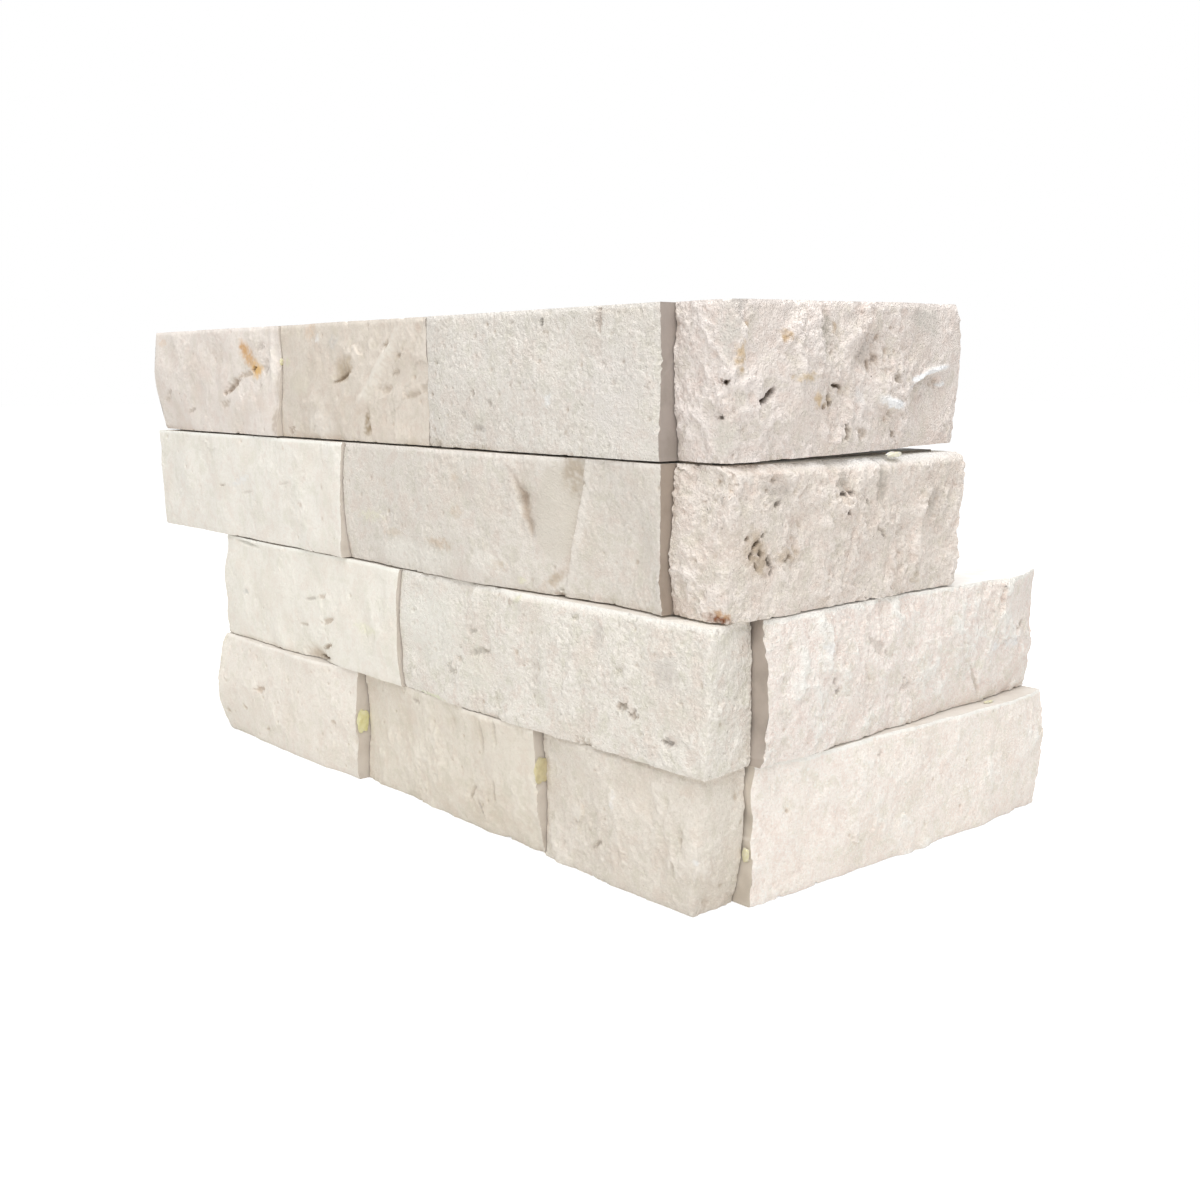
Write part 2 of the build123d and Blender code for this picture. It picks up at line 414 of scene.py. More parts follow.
class Relief:
    """Random heights over a split face, from one seed, with u along the face and v up it, in mm."""

    def __init__(self, u: np.ndarray, v: np.ndarray, seed: int) -> None:
        """Takes the places to give heights for.

        Args:
            u: Distance along the face.
            v: Distance up the face.
            seed: The stone's own number.
        """
        self.u, self.v = u, v
        self.rng = np.random.default_rng(seed)

    def swell(self, size: float, u: np.ndarray | None = None, v: np.ndarray | None = None) -> np.ndarray:
        """Smooth heights from -1 to 1, with bumps about size across.

        Args:
            size: Spacing of the bumps.
            u: Places along, if not the face's own.
            v: Places up, if not the face's own.

        Returns:
            One height for each place.
        """
        u = self.u if u is None else u
        v = self.v if v is None else v
        turn = self.rng.uniform(0, 2 * math.pi)
        a = (u * math.cos(turn) - v * math.sin(turn)) / size
        b = (u * math.sin(turn) + v * math.cos(turn)) / size
        a, b = a - a.min() + self.rng.random(), b - b.min() + self.rng.random()
        i, j = a.astype(int), b.astype(int)
        fa, fb = a - i, b - j
        lean = self.rng.uniform(0, 2 * math.pi, (i.max() + 2, j.max() + 2))
        slope_a, slope_b = np.cos(lean), np.sin(lean)
        rows = []
        for dj in (0, 1):
            ends = [
                slope_a[i + di, j + dj] * (fa - di) + slope_b[i + di, j + dj] * (fb - dj) for di in (0, 1)
            ]
            ease = fa**3 * (fa * (6 * fa - 15) + 10)
            rows.append(ends[0] * (1 - ease) + ends[1] * ease)
        ease = fb**3 * (fb * (6 * fb - 15) + 10)
        return 1.5 * (rows[0] * (1 - ease) + rows[1] * ease)

    def scars(self, size: float, drawn: float = 1.0, lean: float = 0.0) -> np.ndarray:
        """Flake scars: shallow, tilted, slightly dished facets that meet in crests and little cliffs.

        Args:
            size: Spacing of the scars.
            drawn: How many times taller than wide they are.
            lean: Their slant in degrees.

        Returns:
            Heights of about -1 to 1.
        """
        slant = math.radians(lean)
        u = self.u * math.cos(slant) + self.v * math.sin(slant)
        v = (self.v * math.cos(slant) - self.u * math.sin(slant)) / drawn
        u = u + 0.3 * size * self.swell(size * 0.9) + 0.08 * size * self.swell(size * 0.35)
        v = v + 0.3 * size * self.swell(size * 0.9) + 0.08 * size * self.swell(size * 0.35)
        a, b = u / size, v / size
        a, b = a - a.min() + 1, b - b.min() + 1
        i, j = a.astype(int), b.astype(int)
        shape = (i.max() + 2, j.max() + 2)
        off_a, off_b, lift = (self.rng.random(shape) for _ in range(3))
        tilt_a, tilt_b = (self.rng.uniform(-0.85, 0.85, shape) for _ in range(2))
        lowest = np.full(u.shape, 9.0)
        for di in (-1, 0, 1):
            for dj in (-1, 0, 1):
                k, m = i + di, j + dj
                da, db = a - k - off_a[k, m], b - m - off_b[k, m]
                bowl = 0.6 * (da * da + db * db) + 0.8 * lift[k, m] + tilt_a[k, m] * da + tilt_b[k, m] * db
                lowest = np.minimum(lowest, bowl)
        return 0.4 * (lowest - lowest.mean()) / lowest.std()

    def crests(self, size: float, drawn: float = 1.0, lean: float = 0.0) -> np.ndarray:
        """Sharp wandering crests with smooth hollows between them.

        Args:
            size: Spacing of the crests.
            drawn: How many times taller than wide the hollows are.
            lean: Their slant in degrees.

        Returns:
            Heights of about -1 to 1, the highest along the crests.
        """
        slant = math.radians(lean)
        u = self.u * math.cos(slant) + self.v * math.sin(slant)
        v = (self.v * math.cos(slant) - self.u * math.sin(slant)) / drawn
        return 1 - 2.4 * np.abs(self.swell(size, u + 0.2 * size * self.swell(size * 0.7), v))

    def pores(self, size: float) -> np.ndarray:
        """Crowded small pores with crumbled outlines: 0 on the skin and 1 on the floor of a pore."""
        field = self.swell(size) + 0.7 * self.swell(size * 0.6) + 0.4 * self.swell(size * 3)
        return np.clip(2.2 * (field - 0.35), 0, 1)

    def specks(self, size: float, share: float) -> np.ndarray:
        """Small round holes scattered over the face.

        Args:
            size: Mean spacing of the places where a hole may be.
            share: The share of those places that has one.

        Returns:
            1 in the middle of a hole and 0 away from it.
        """
        a, b = self.u / size, self.v / size
        a, b = a - a.min() + 1, b - b.min() + 1
        i, j = a.astype(int), b.astype(int)
        shape = (i.max() + 2, j.max() + 2)
        off_a, off_b, pick = (self.rng.random(shape) for _ in range(3))
        radius = self.rng.uniform(0.08, 0.2, shape)
        deep = np.zeros(self.u.shape)
        for di in (-1, 0, 1):
            for dj in (-1, 0, 1):
                k, m = i + di, j + dj
                da, db = a - k - off_a[k, m], b - m - off_b[k, m]
                hole = np.exp(-((da * da + db * db) / radius[k, m] ** 2) ** 1.5)
                deep = np.maximum(deep, np.where(pick[k, m] < share, hole, 0))
        return deep

    def mark(self, mark: Mark) -> tuple[np.ndarray, np.ndarray, np.ndarray]:
        """Shapes a feature placed by hand.

        Args:
            mark: The feature.

        Returns:
            Which places it touches, how deep it goes in there in mm, and how much its colour covers.
        """
        turn = math.radians(mark.turn)
        du, dv = self.u - mark.along, self.v - mark.up
        a = (du * math.cos(turn) + dv * math.sin(turn)) / mark.wide
        b = (dv * math.cos(turn) - du * math.sin(turn)) / mark.tall
        near = np.flatnonzero((np.abs(a) < 2) & (np.abs(b) < 2))
        if not len(near):
            return near, np.zeros(0), np.zeros(0)
        a, b = a[near], b[near]
        small = min(mark.wide, mark.tall)
        own = Relief(self.u[near], self.v[near], round(abs(mark.along) * 10 + mark.up * 7))
        # an outline wanders by about as many millimetres on a wide feature as on a small one
        wandering = own.swell(max(1.5, 0.9 * small)) + 0.7 * own.swell(max(0.8, 0.4 * small))
        ragged = min(0.5, 0.8 / small) * wandering
        if mark.kind in (PIT, RIDGE, FACET):
            # a long one wanders less, or it would break into beads
            ragged = ragged * min(1.0, 2.2 * small / max(mark.wide, mark.tall))
        away = np.sqrt(a * a + b * b)
        reach = away + ragged
        if mark.kind is PIT:
            shape = np.exp(-np.clip(away + 1.6 * ragged, 0, None) ** 4)
        elif mark.kind is SCOOP:
            shape = np.clip(1 - reach * np.abs(reach), 0, 1)
        elif mark.kind is RIDGE:
            shape = -np.clip(1 - np.abs(a + ragged), 0, 1) * np.clip(1 - b * b, 0, 1)
        elif mark.kind is CHIP:
            shape = np.clip(1 - reach, 0, 1)
        elif mark.kind is STEP:
            past = a + 2.0 / mark.wide * ragged
            shape = np.clip(past * mark.wide / mark.edge, 0, 1) * np.clip(1 - past / 2, 0, 1) ** 2
            shape = shape * np.clip(1 - b * b, 0, 1)
        elif mark.kind is FACET:
            shape = np.clip(4 * (1.1 - reach), 0, 1)
        else:
            shape = np.clip(1.25 - reach, 0, 1)
        cover = np.clip(1.1 * np.abs(shape), 0, 1)
        cover = cover * cover * (3 - 2 * cover) * mark.cover
        if mark.kind in (STAIN_OR_PAINTED_LIGHT, SCOOP):
            # the colour covers unevenly, as a soaked-in stain does
            cover = cover * np.clip(0.9 + 0.8 * own.swell(1.3) + 0.5 * own.swell(3), 0.2, 1)
        return near, mark.depth * shape, cover

    def cleft(self, kind: Cleft) -> tuple[np.ndarray, np.ndarray, np.ndarray]:
        """The relief of a whole split face.

        Args:
            kind: How the stone split.

        Returns:
            The broad swell and the small relief of each place, in mm outwards, and how hollow it is,
            about -1 to 1.
        """
        # rough and calm areas take turns, as they do on a real split
        rough = self.swell(18) + 0.5 * self.swell(7) + 0.25 * self.swell(3)
        rough = rough + kind.side * (2 * (self.u - self.u.min()) / np.ptp(self.u) - 1)
        rough = np.clip(0.5 + 1.4 * (rough + 0.7 * (0.5 - kind.calm)), 0, 1)
        broad = kind.broad * (self.swell(26) + 0.55 * self.swell(12))
        facet = kind.facet * self.scars(9.0, kind.drawn, kind.lean) * (0.45 + 0.75 * rough)
        crest = self.crests(7, kind.drawn, kind.lean) + 0.6 * self.crests(3, kind.drawn, kind.lean)
        crest = kind.crest * crest * (0.3 + 0.9 * rough)
        nibble = kind.nibble * self.scars(2.8, 1 + 0.6 * (kind.drawn - 1), kind.lean) * (0.25 + rough)
        grit = kind.grit * (self.swell(1.5) + 0.8 * self.swell(0.8)) * (0.5 + rough)
        pores = kind.pitted * self.pores(1.4) * (0.3 + rough)
        holes = self.specks(4.5, kind.specks)
        # how hollow each place is, which the material turns into painted shade in the hollows and painted
        # highlight on the crests
        hollow = -(0.5 * facet + 0.8 * crest + nibble + grit) + 1.3 * pores + 0.9 * holes
        return broad, facet + crest + nibble + grit - pores - 0.45 * holes, hollow


@dataclass
class Strip:
    """One stone strip, modelled with its relief in place of its solid.

    turns_corner says that its end at the outer corner is split too, and free_end that its far end meets
    no other strip. climb is how far it rises to its free end in mm.
    """

    node: str
    leg: Leg
    cleft: Cleft
    finish: SplitLimestone
    marks: tuple[Mark, ...] = ()
    turns_corner: bool = False
    free_end: bool = False
    climb: float = 0.0
    bed: SawnLimestone = field(default_factory=lambda: SawnLimestone("E6E0D8", "D9D1C7"))
    end: SawnLimestone = field(default_factory=lambda: SawnLimestone("D6CDC2", "C8BEB2"))

    def build(self) -> bpy.types.Object:
        """Models the strip, dresses it and lets it stand for its solid.

        Returns:
            The finished piece.
        """
        self._measure()
        piece = self._sawn_block()
        self._split(piece)
        self._shade(piece)
        self.dress(piece)
        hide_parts(self.node)
        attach(piece, "root")
        log.info("%s: %d faces", piece.name, len(piece.data.polygons))
        return piece

    def _measure(self) -> None:
        """Reads the solid's place and keeps it for the rays that follow its split faces."""
        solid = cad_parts[self.node].data
        corners = np.array([v.co for v in solid.vertices]) / MM
        along, out, up = self._local(corners)
        start = self.corner if self.turns_corner else along.min()
        foot = up.min()
        if self.climb:
            # the climbing strip is worked on level, and laid back at its slope when it is done
            self.pivot, self.slope = (self.corner, foot), math.atan2(self.climb, along.max() - start)
            along, up = self._swung(along, up, -self.slope)
            foot = up.min()
        self.foot, self.head = foot, up.max()
        if self.turns_corner:
            self.far = along.max() if self.leg is Leg.SHORT else along.min()
            self.near = self.corner
        else:
            self.far, self.near = along.min(), along.max()
        points = np.column_stack([along, out, up])
        self.solid = BVHTree.FromPolygons(points.tolist(), [list(p.vertices) for p in solid.polygons])

    @property
    def corner(self) -> float:
        """Where the nominal plane of the split end lies along the leg."""
        return THICKNESS if self.leg is Leg.LONG else -THICKNESS

    @property
    def facing(self) -> float:
        """Which way along the leg the split end faces."""
        return 1.0 if self.leg is Leg.LONG else -1.0

    def _local(self, points: np.ndarray) -> tuple[np.ndarray, np.ndarray, np.ndarray]:
        """Splits points of the scene into along the leg, out from its back, and up."""
        if self.leg is Leg.LONG:
            return points[:, 0], -points[:, 1], points[:, 2]
        return points[:, 1], points[:, 0], points[:, 2]

    def _scene(self, along: np.ndarray, out: np.ndarray, up: np.ndarray) -> np.ndarray:
        """Joins along, out and up into points of the scene, laid at the strip's slope."""
        if self.climb:
            along, up = self._swung(along, up, self.slope)
        if self.leg is Leg.LONG:
            return np.column_stack([along, -out, up])
        return np.column_stack([out, along, up])

    def _swung(self, along: np.ndarray, up: np.ndarray, angle: float) -> tuple[np.ndarray, np.ndarray]:
        """Turns points about the outer corner of the strip's foot."""
        da, du = along - self.pivot[0], up - self.pivot[1]
        cosine, sine = math.cos(angle), math.sin(angle)
        return self.pivot[0] + da * cosine - du * sine, self.pivot[1] + da * sine + du * cosine

    def _sawn_block(self) -> bpy.types.Object:
        """The strip as it leaves the saw: a box, its split faces ruled into bays and divided finely.

        Returns:
            The box, with only its split faces fine.
        """
        low, high = sorted((self.far, self.near))
        bpy.ops.object.select_all(action="DESELECT")
        middle = self._flat((low + high) / 2, THICKNESS / 2, (self.foot + self.head) / 2)
        size = [abs(x) for x in self._flat(high - low, THICKNESS, self.head - self.foot)]
        bpy.ops.mesh.primitive_cube_add(size=1.0, location=middle)
        block = bpy.context.object
        block.name = f"stone_{self.node}"
        block.data.name = block.name
        block.scale = size
        bpy.ops.object.transform_apply(location=True, rotation=True, scale=True)
        bpy.ops.object.mode_set(mode="EDIT")
        bpy.ops.mesh.select_mode(type="FACE")
        bays = max(1, round((high - low) / BAY))
        step = self._flat(1.0, 0.0, 0.0)
        for k in range(1, bays):
            bpy.ops.mesh.select_all(action="SELECT")
            cut = self._flat(low + (high - low) * k / bays, 0.0, 0.0)
            bpy.ops.mesh.bisect(plane_co=cut, plane_no=Vector(step).normalized())
        bpy.ops.mesh.select_all(action="SELECT")
        bpy.ops.mesh.bisect(plane_co=(0, 0, middle[2]), plane_no=(0, 0, 1))
        bpy.ops.mesh.select_all(action="DESELECT")
        bpy.ops.object.mode_set(mode="OBJECT")
        outward = Vector(self._flat(0.0, 1.0, 0.0)).normalized()
        endward = Vector(self._flat(self.facing, 0.0, 0.0)).normalized()
        for face in block.data.polygons:
            on_end = self.turns_corner and face.normal.dot(endward) > 0.9
            face.select = face.normal.dot(outward) > 0.9 or on_end
        bpy.ops.object.mode_set(mode="EDIT")
        cuts = round(BAY / CELL) - 1
        bpy.ops.mesh.subdivide(number_cuts=cuts, ngon=True)
        bpy.ops.object.mode_set(mode="OBJECT")
        for face in block.data.polygons:
            at_end = abs(face.normal.dot(endward)) > 0.9
            face.material_index = 0 if face.select else 2 if at_end else 1
        return block

    def _flat(self, along: float, out: float, up: float) -> tuple[float, float, float]:
        """A point or size of the level strip, in mm, as the scene has it in metres."""
        if self.leg is Leg.LONG:
            return along * MM, -out * MM, up * MM
        return out * MM, along * MM, up * MM

    def _proud(self, along: float, up: float) -> float:
        """How far out the solid's split face lies at a place."""
        low, high = sorted((self.far, self.near))
        inner_low, inner_high = low + RIM, high - RIM
        if self.turns_corner and self.facing < 0:
            inner_low = -math.inf
        if self.turns_corner and self.facing > 0:
            inner_high = math.inf
        along = min(max(along, inner_low), inner_high)
        up = min(max(up, self.foot + RIM), self.head - RIM)
        hit = self.solid.ray_cast((along, CLEAR, up), (0.0, -1.0, 0.0))[0]
        return hit[1] if hit else THICKNESS

    def _end(self, out: float, up: float) -> float:
        """How far along the solid's split end lies at a place."""
        up = min(max(up, self.foot + RIM), self.head - RIM)
        start = self.corner + self.facing * 40
        hit = self.solid.ray_cast((start, max(out, RIM), up), (-self.facing, 0.0, 0.0))[0]
        return hit[0] if hit else self.corner

    def _split(self, piece: bpy.types.Object) -> None:
        """Moves the fine faces onto the solid's split faces and gives them their relief.

        Args:
            piece: The sawn block.
        """
        count = len(piece.data.vertices)
        flat = np.empty(count * 3)
        piece.data.vertices.foreach_get("co", flat)
        along, out, up = (c.copy() for c in self._local(flat.reshape(-1, 3) / MM))
        on_face = np.abs(out - THICKNESS) < LEVEL
        on_end = (np.abs(along - self.corner) < LEVEL) if self.turns_corner else np.zeros(count, bool)
        turn, face_at_turn = along, out
        if self.turns_corner:
            along, out, turn, face_at_turn = self._onto_corner(along, out, up, on_face, on_end)
        # along the leg, and on round the corner
        u = np.where(on_face, along, turn + self.facing * (face_at_turn - out))
        for k in np.flatnonzero(on_face & ~on_end):
            out[k] = self._proud(along[k], up[k])
        used = on_face | on_end
        relief = Relief(u[used], up[used], self.cleft.seed)
        height, small, hollow = relief.cleft(self.cleft)
        stain_and_painted_light = np.zeros((count, 4), np.float32)
        tone = np.zeros((len(height), 4))
        for mark in self.marks:
            where, deep, cover = relief.mark(mark)
            if mark.kind is FACET:
                small[where] *= 1 - 0.85 * cover
                hollow[where] *= 1 - 0.85 * cover
            else:
                height[where] -= deep
            # the hollow of a pit, scoop, chip or step gets painted shade through the hollow attribute
            if mark.kind not in (RIDGE, FACET):
                hollow[where] += 0.5 * np.clip(deep, 0, 2)
            if mark.colour:
                cover = cover[:, None]
                tone[where] = tone[where] * (1 - cover) + cover * np.array(linear(mark.colour))
        height += small
        stain_and_painted_light[used] = tone
        from_turn = np.abs(u - turn)[used] if self.turns_corner else np.full(height.shape, 1e3)
        worn, lowered, wander = self._worn_arris(
            relief, along[used], out[used], up[used], on_end[used], from_turn
        )
        height -= worn
        # painted highlight: the head arris faces the lamps, so it is made paler through the hollow attribute
        hollow -= 1.3 * np.clip(1 - (self.head - up[used]) / 1.4, 0, 1)
        face_part, end_part = self._outwards(from_turn, on_end[used])
        out[used] += height * face_part
        along[used] += height * end_part * self.facing
        along[used] += wander * np.sign((self.near + self.far) / 2 - along[used])
        up[used] += lowered
        moved = self._scene(along, out, up) * MM
        piece.data.vertices.foreach_set("co", moved.ravel())
        attribute = piece.data.attributes.new("hollow", "FLOAT", "POINT")
        full = np.zeros(count, np.float32)
        full[used] = hollow
        attribute.data.foreach_set("value", full)
        attribute = piece.data.attributes.new("stain_and_painted_light", "FLOAT_COLOR", "POINT")
        attribute.data.foreach_set("color", stain_and_painted_light.ravel())
        piece.data.update()

    def _onto_corner(
        self, along: np.ndarray, out: np.ndarray, up: np.ndarray, on_face: np.ndarray, on_end: np.ndarray
    ) -> tuple[np.ndarray, np.ndarray, np.ndarray, np.ndarray]:
        """Stretches both split faces of a corner strip to the edge where they meet.

        Args:
            along: Places along the leg.
            out: Places out from the back.
            up: Places up.
            on_face: Which of them lie on the long split face.
            on_end: Which of them lie on the split end.

        Returns:
            The new along and out, and where the edge is along and out at each place's height.
        """
        levels = np.linspace(self.foot, self.head, 60)
        edge_ends, edge_faces = np.empty(levels.shape), np.empty(levels.shape)
        for k, level in enumerate(levels):
            face, end = THICKNESS, self.corner
            for _ in range(3):
                end = self._end(face - 0.4, level)
                face = self._proud(end - self.facing * 0.4, level)
            edge_ends[k], edge_faces[k] = end, face
        ends, faces = np.interp(up, levels, edge_ends), np.interp(up, levels, edge_faces)
        share = (along - self.far) / (self.corner - self.far)
        along = np.where(on_face, self.far + share * (ends - self.far), along)
        depth = out / THICKNESS
        out = np.where(on_end, depth * faces, out)
        for k in np.flatnonzero(on_end & ~on_face):
            along[k] = self._end(out[k], up[k])
        return along, out, ends, faces

    def _outwards(self, from_turn: np.ndarray, on_end: np.ndarray) -> tuple[np.ndarray, np.ndarray]:
        """How much of the relief goes out of the face, and how much out of the end, near the corner.

        Args:
            from_turn: How far each place is from the outer corner.
            on_end: Which of them lie on the split end.

        Returns:
            The shares out of the face and out of the end.
        """
        turned = np.exp(-((from_turn / 2.5) ** 2))
        face_part = np.where(on_end, turned, 1.0)
        end_part = np.where(on_end, 1.0, turned)
        scale = np.sqrt(face_part**2 + end_part**2)
        return face_part / scale, end_part / scale

    def _worn_arris(
        self,
        relief: Relief,
        along: np.ndarray,
        out: np.ndarray,
        up: np.ndarray,
        on_end: np.ndarray,
        from_turn: np.ndarray,
    ) -> tuple[np.ndarray, np.ndarray, np.ndarray]:
        """The small losses along the arrises, where the sawn faces meet the split ones.

        Args:
            relief: The face's own random heights.
            along: Places along the leg.
            out: Places out from the back.
            up: Places up.
            on_end: Which of them lie on the split end.
            from_turn: How far each place is from the outer corner.

        Returns:
            How far each place goes in, how far those on the bed arrises move up or down, and how far
            those near a free upright arris move towards the stone's middle.
        """
        to_head, to_foot = self.head - up, up - self.foot
        to_side = np.where(on_end, out, np.abs(along - self.far))
        if not self.turns_corner:
            to_side = np.minimum(to_side, np.abs(along - self.near))
        nicks = np.clip(relief.swell(5) + 0.7 * relief.swell(1.8) - 0.55, 0, 1)
        worn = (0.3 + 1.3 * nicks) * np.clip(1 - np.minimum(to_head, to_foot) / 1.6, 0, 1) ** 1.5
        # the upright arrises stay sharper, but for their nicks
        worn = np.maximum(worn, (0.1 + 1.0 * nicks) * np.clip(1 - to_side / 1.2, 0, 1) ** 1.5)
        # the outer corner is knocked back unevenly
        blunt = np.clip(0.4 + 0.5 * relief.swell(6) + 0.35 * relief.swell(2), 0, 1.5)
        worn = worn + blunt * np.clip(1 - from_turn / 1.7, 0, 1)
        lowered = np.where(to_head < LEVEL, -0.5 * nicks, 0.0) + np.where(to_foot < LEVEL, 0.35 * nicks, 0.0)
        # a free end's arris wanders, because the blow that parted the stone was not square to it
        wander = np.clip(0.4 + 1.1 * relief.swell(8) + 0.25 * relief.swell(3), 0, 1.6)
        wander = wander * np.clip(1 - np.abs(along - self.far) / 4, 0, 1) * (~on_end & self.free_end)
        return worn, lowered, wander

    def _shade(self, piece: bpy.types.Object) -> None:
        """Smooths the cleft, and keeps the arrises and the sawn faces crisp."""
        bpy.ops.object.select_all(action="DESELECT")
        piece.select_set(True)
        bpy.context.view_layer.objects.active = piece
        bpy.ops.object.shade_smooth_by_angle(angle=math.radians(48))

    def dress(self, piece: bpy.types.Object) -> None:
        """Gives the split face, the sawn beds and back, and the sawn ends their finishes."""
        piece.data.materials.append(self.finish.material(self.node))
        piece.data.materials.append(self.bed.material(self.node))
        piece.data.materials.append(self.end.material(f"{self.node}_end"))


@dataclass
class Course:
    """One course of the corner: the strips between two beds."""

    number: int
    strips: tuple[Strip, ...]

    def build(self) -> list[bpy.types.Object]:
        """Builds every strip of the course.

        Returns:
            The finished pieces.
        """
        log.info("course %d", self.number)
        return [strip.build() for strip in self.strips]


@dataclass
class ResinJoints:
    """The resin films of the beds and uprights, which keep the shapes that their solids have."""

    # the film's dull grey-brown is painted shade, so that it passes for the dark deep in the joint
    finish: StoneResin = field(default_factory=lambda: StoneResin("857B6D", "6E655A"))

    def dress(self) -> None:
        """Gives the resin solids their finish."""
        made = self.finish.material("film")
        for name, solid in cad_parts.items():
            if name.startswith("resin"):
                solid.data.materials.clear()
                solid.data.materials.append(made)
                log.info("%s: resin", name)


@dataclass
class ResinBead:
    """A bead of resin that was squeezed out of a joint: middle and half sizes in mm."""

    name: str
    place: tuple[float, float, float]
    size: tuple[float, float, float]
    finish: StoneResin = field(default_factory=StoneResin)

    def build(self) -> bpy.types.Object:
        """Models the bead as a flattened lump with an uneven rim.

        Returns:
            The finished piece.
        """
        bpy.ops.object.select_all(action="DESELECT")
        bpy.ops.mesh.primitive_ico_sphere_add(subdivisions=4, radius=1.0)
        bead = bpy.context.object
        bead.name = bead.data.name = self.name
        points = np.empty(len(bead.data.vertices) * 3)
        bead.data.vertices.foreach_get("co", points)
        points = points.reshape(-1, 3)
        a, b, c = points.T
        lumps = 1 + 0.12 * np.sin(3.1 * a + 4.3 * b + 1) * np.cos(3.7 * c + b)
        lumps += 0.04 * np.sin(9 * c + 5 * b)
        points = (points * lumps[:, None] * self.size + self.place) * MM
        bead.data.vertices.foreach_set("co", points.ravel())
        bead.data.update()
        bpy.ops.object.shade_smooth()
        bead.data.materials.append(self.finish.material(self.name))
        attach(bead, "root")
        log.info("%s", bead.name)
        return bead


def beads() -> tuple[ResinBead, ...]:
    """The beads of resin that show in the joints, each with the tone that it has there.

    Returns:
        The beads, ready to build.
    """
    yellow, olive = StoneResin("E8E2B4", "DCD59C"), StoneResin("D8CDA8", "C8BC94")
    pale, chalky = StoneResin("E4DFC4", "D8D2AE"), StoneResin("F4F0E4", "E6E1C8")
    return (
        ResinBead("resin_bead_1", (-142.2, -14.4, 20.0), (0.35, 2.4, 4.0), yellow),
        ResinBead("resin_bead_2", (-46.3, -16.0, 25.2), (0.35, 2.7, 3.8), olive),
        ResinBead("resin_bead_3", (-187.7, -14.2, 138.0), (0.4, 1.1, 1.2), pale),
        ResinBead("resin_bead_4", (15.2, 0.3, 13.8), (1.2, 0.35, 1.9), pale),
        ResinBead("resin_bead_5", (17.3, 51.0, 112.8), (1.0, 3.0, 0.75), chalky),
        ResinBead("resin_bead_6", (15.9, 106.0, 37.4), (0.9, 2.2, 0.35), pale),
    )


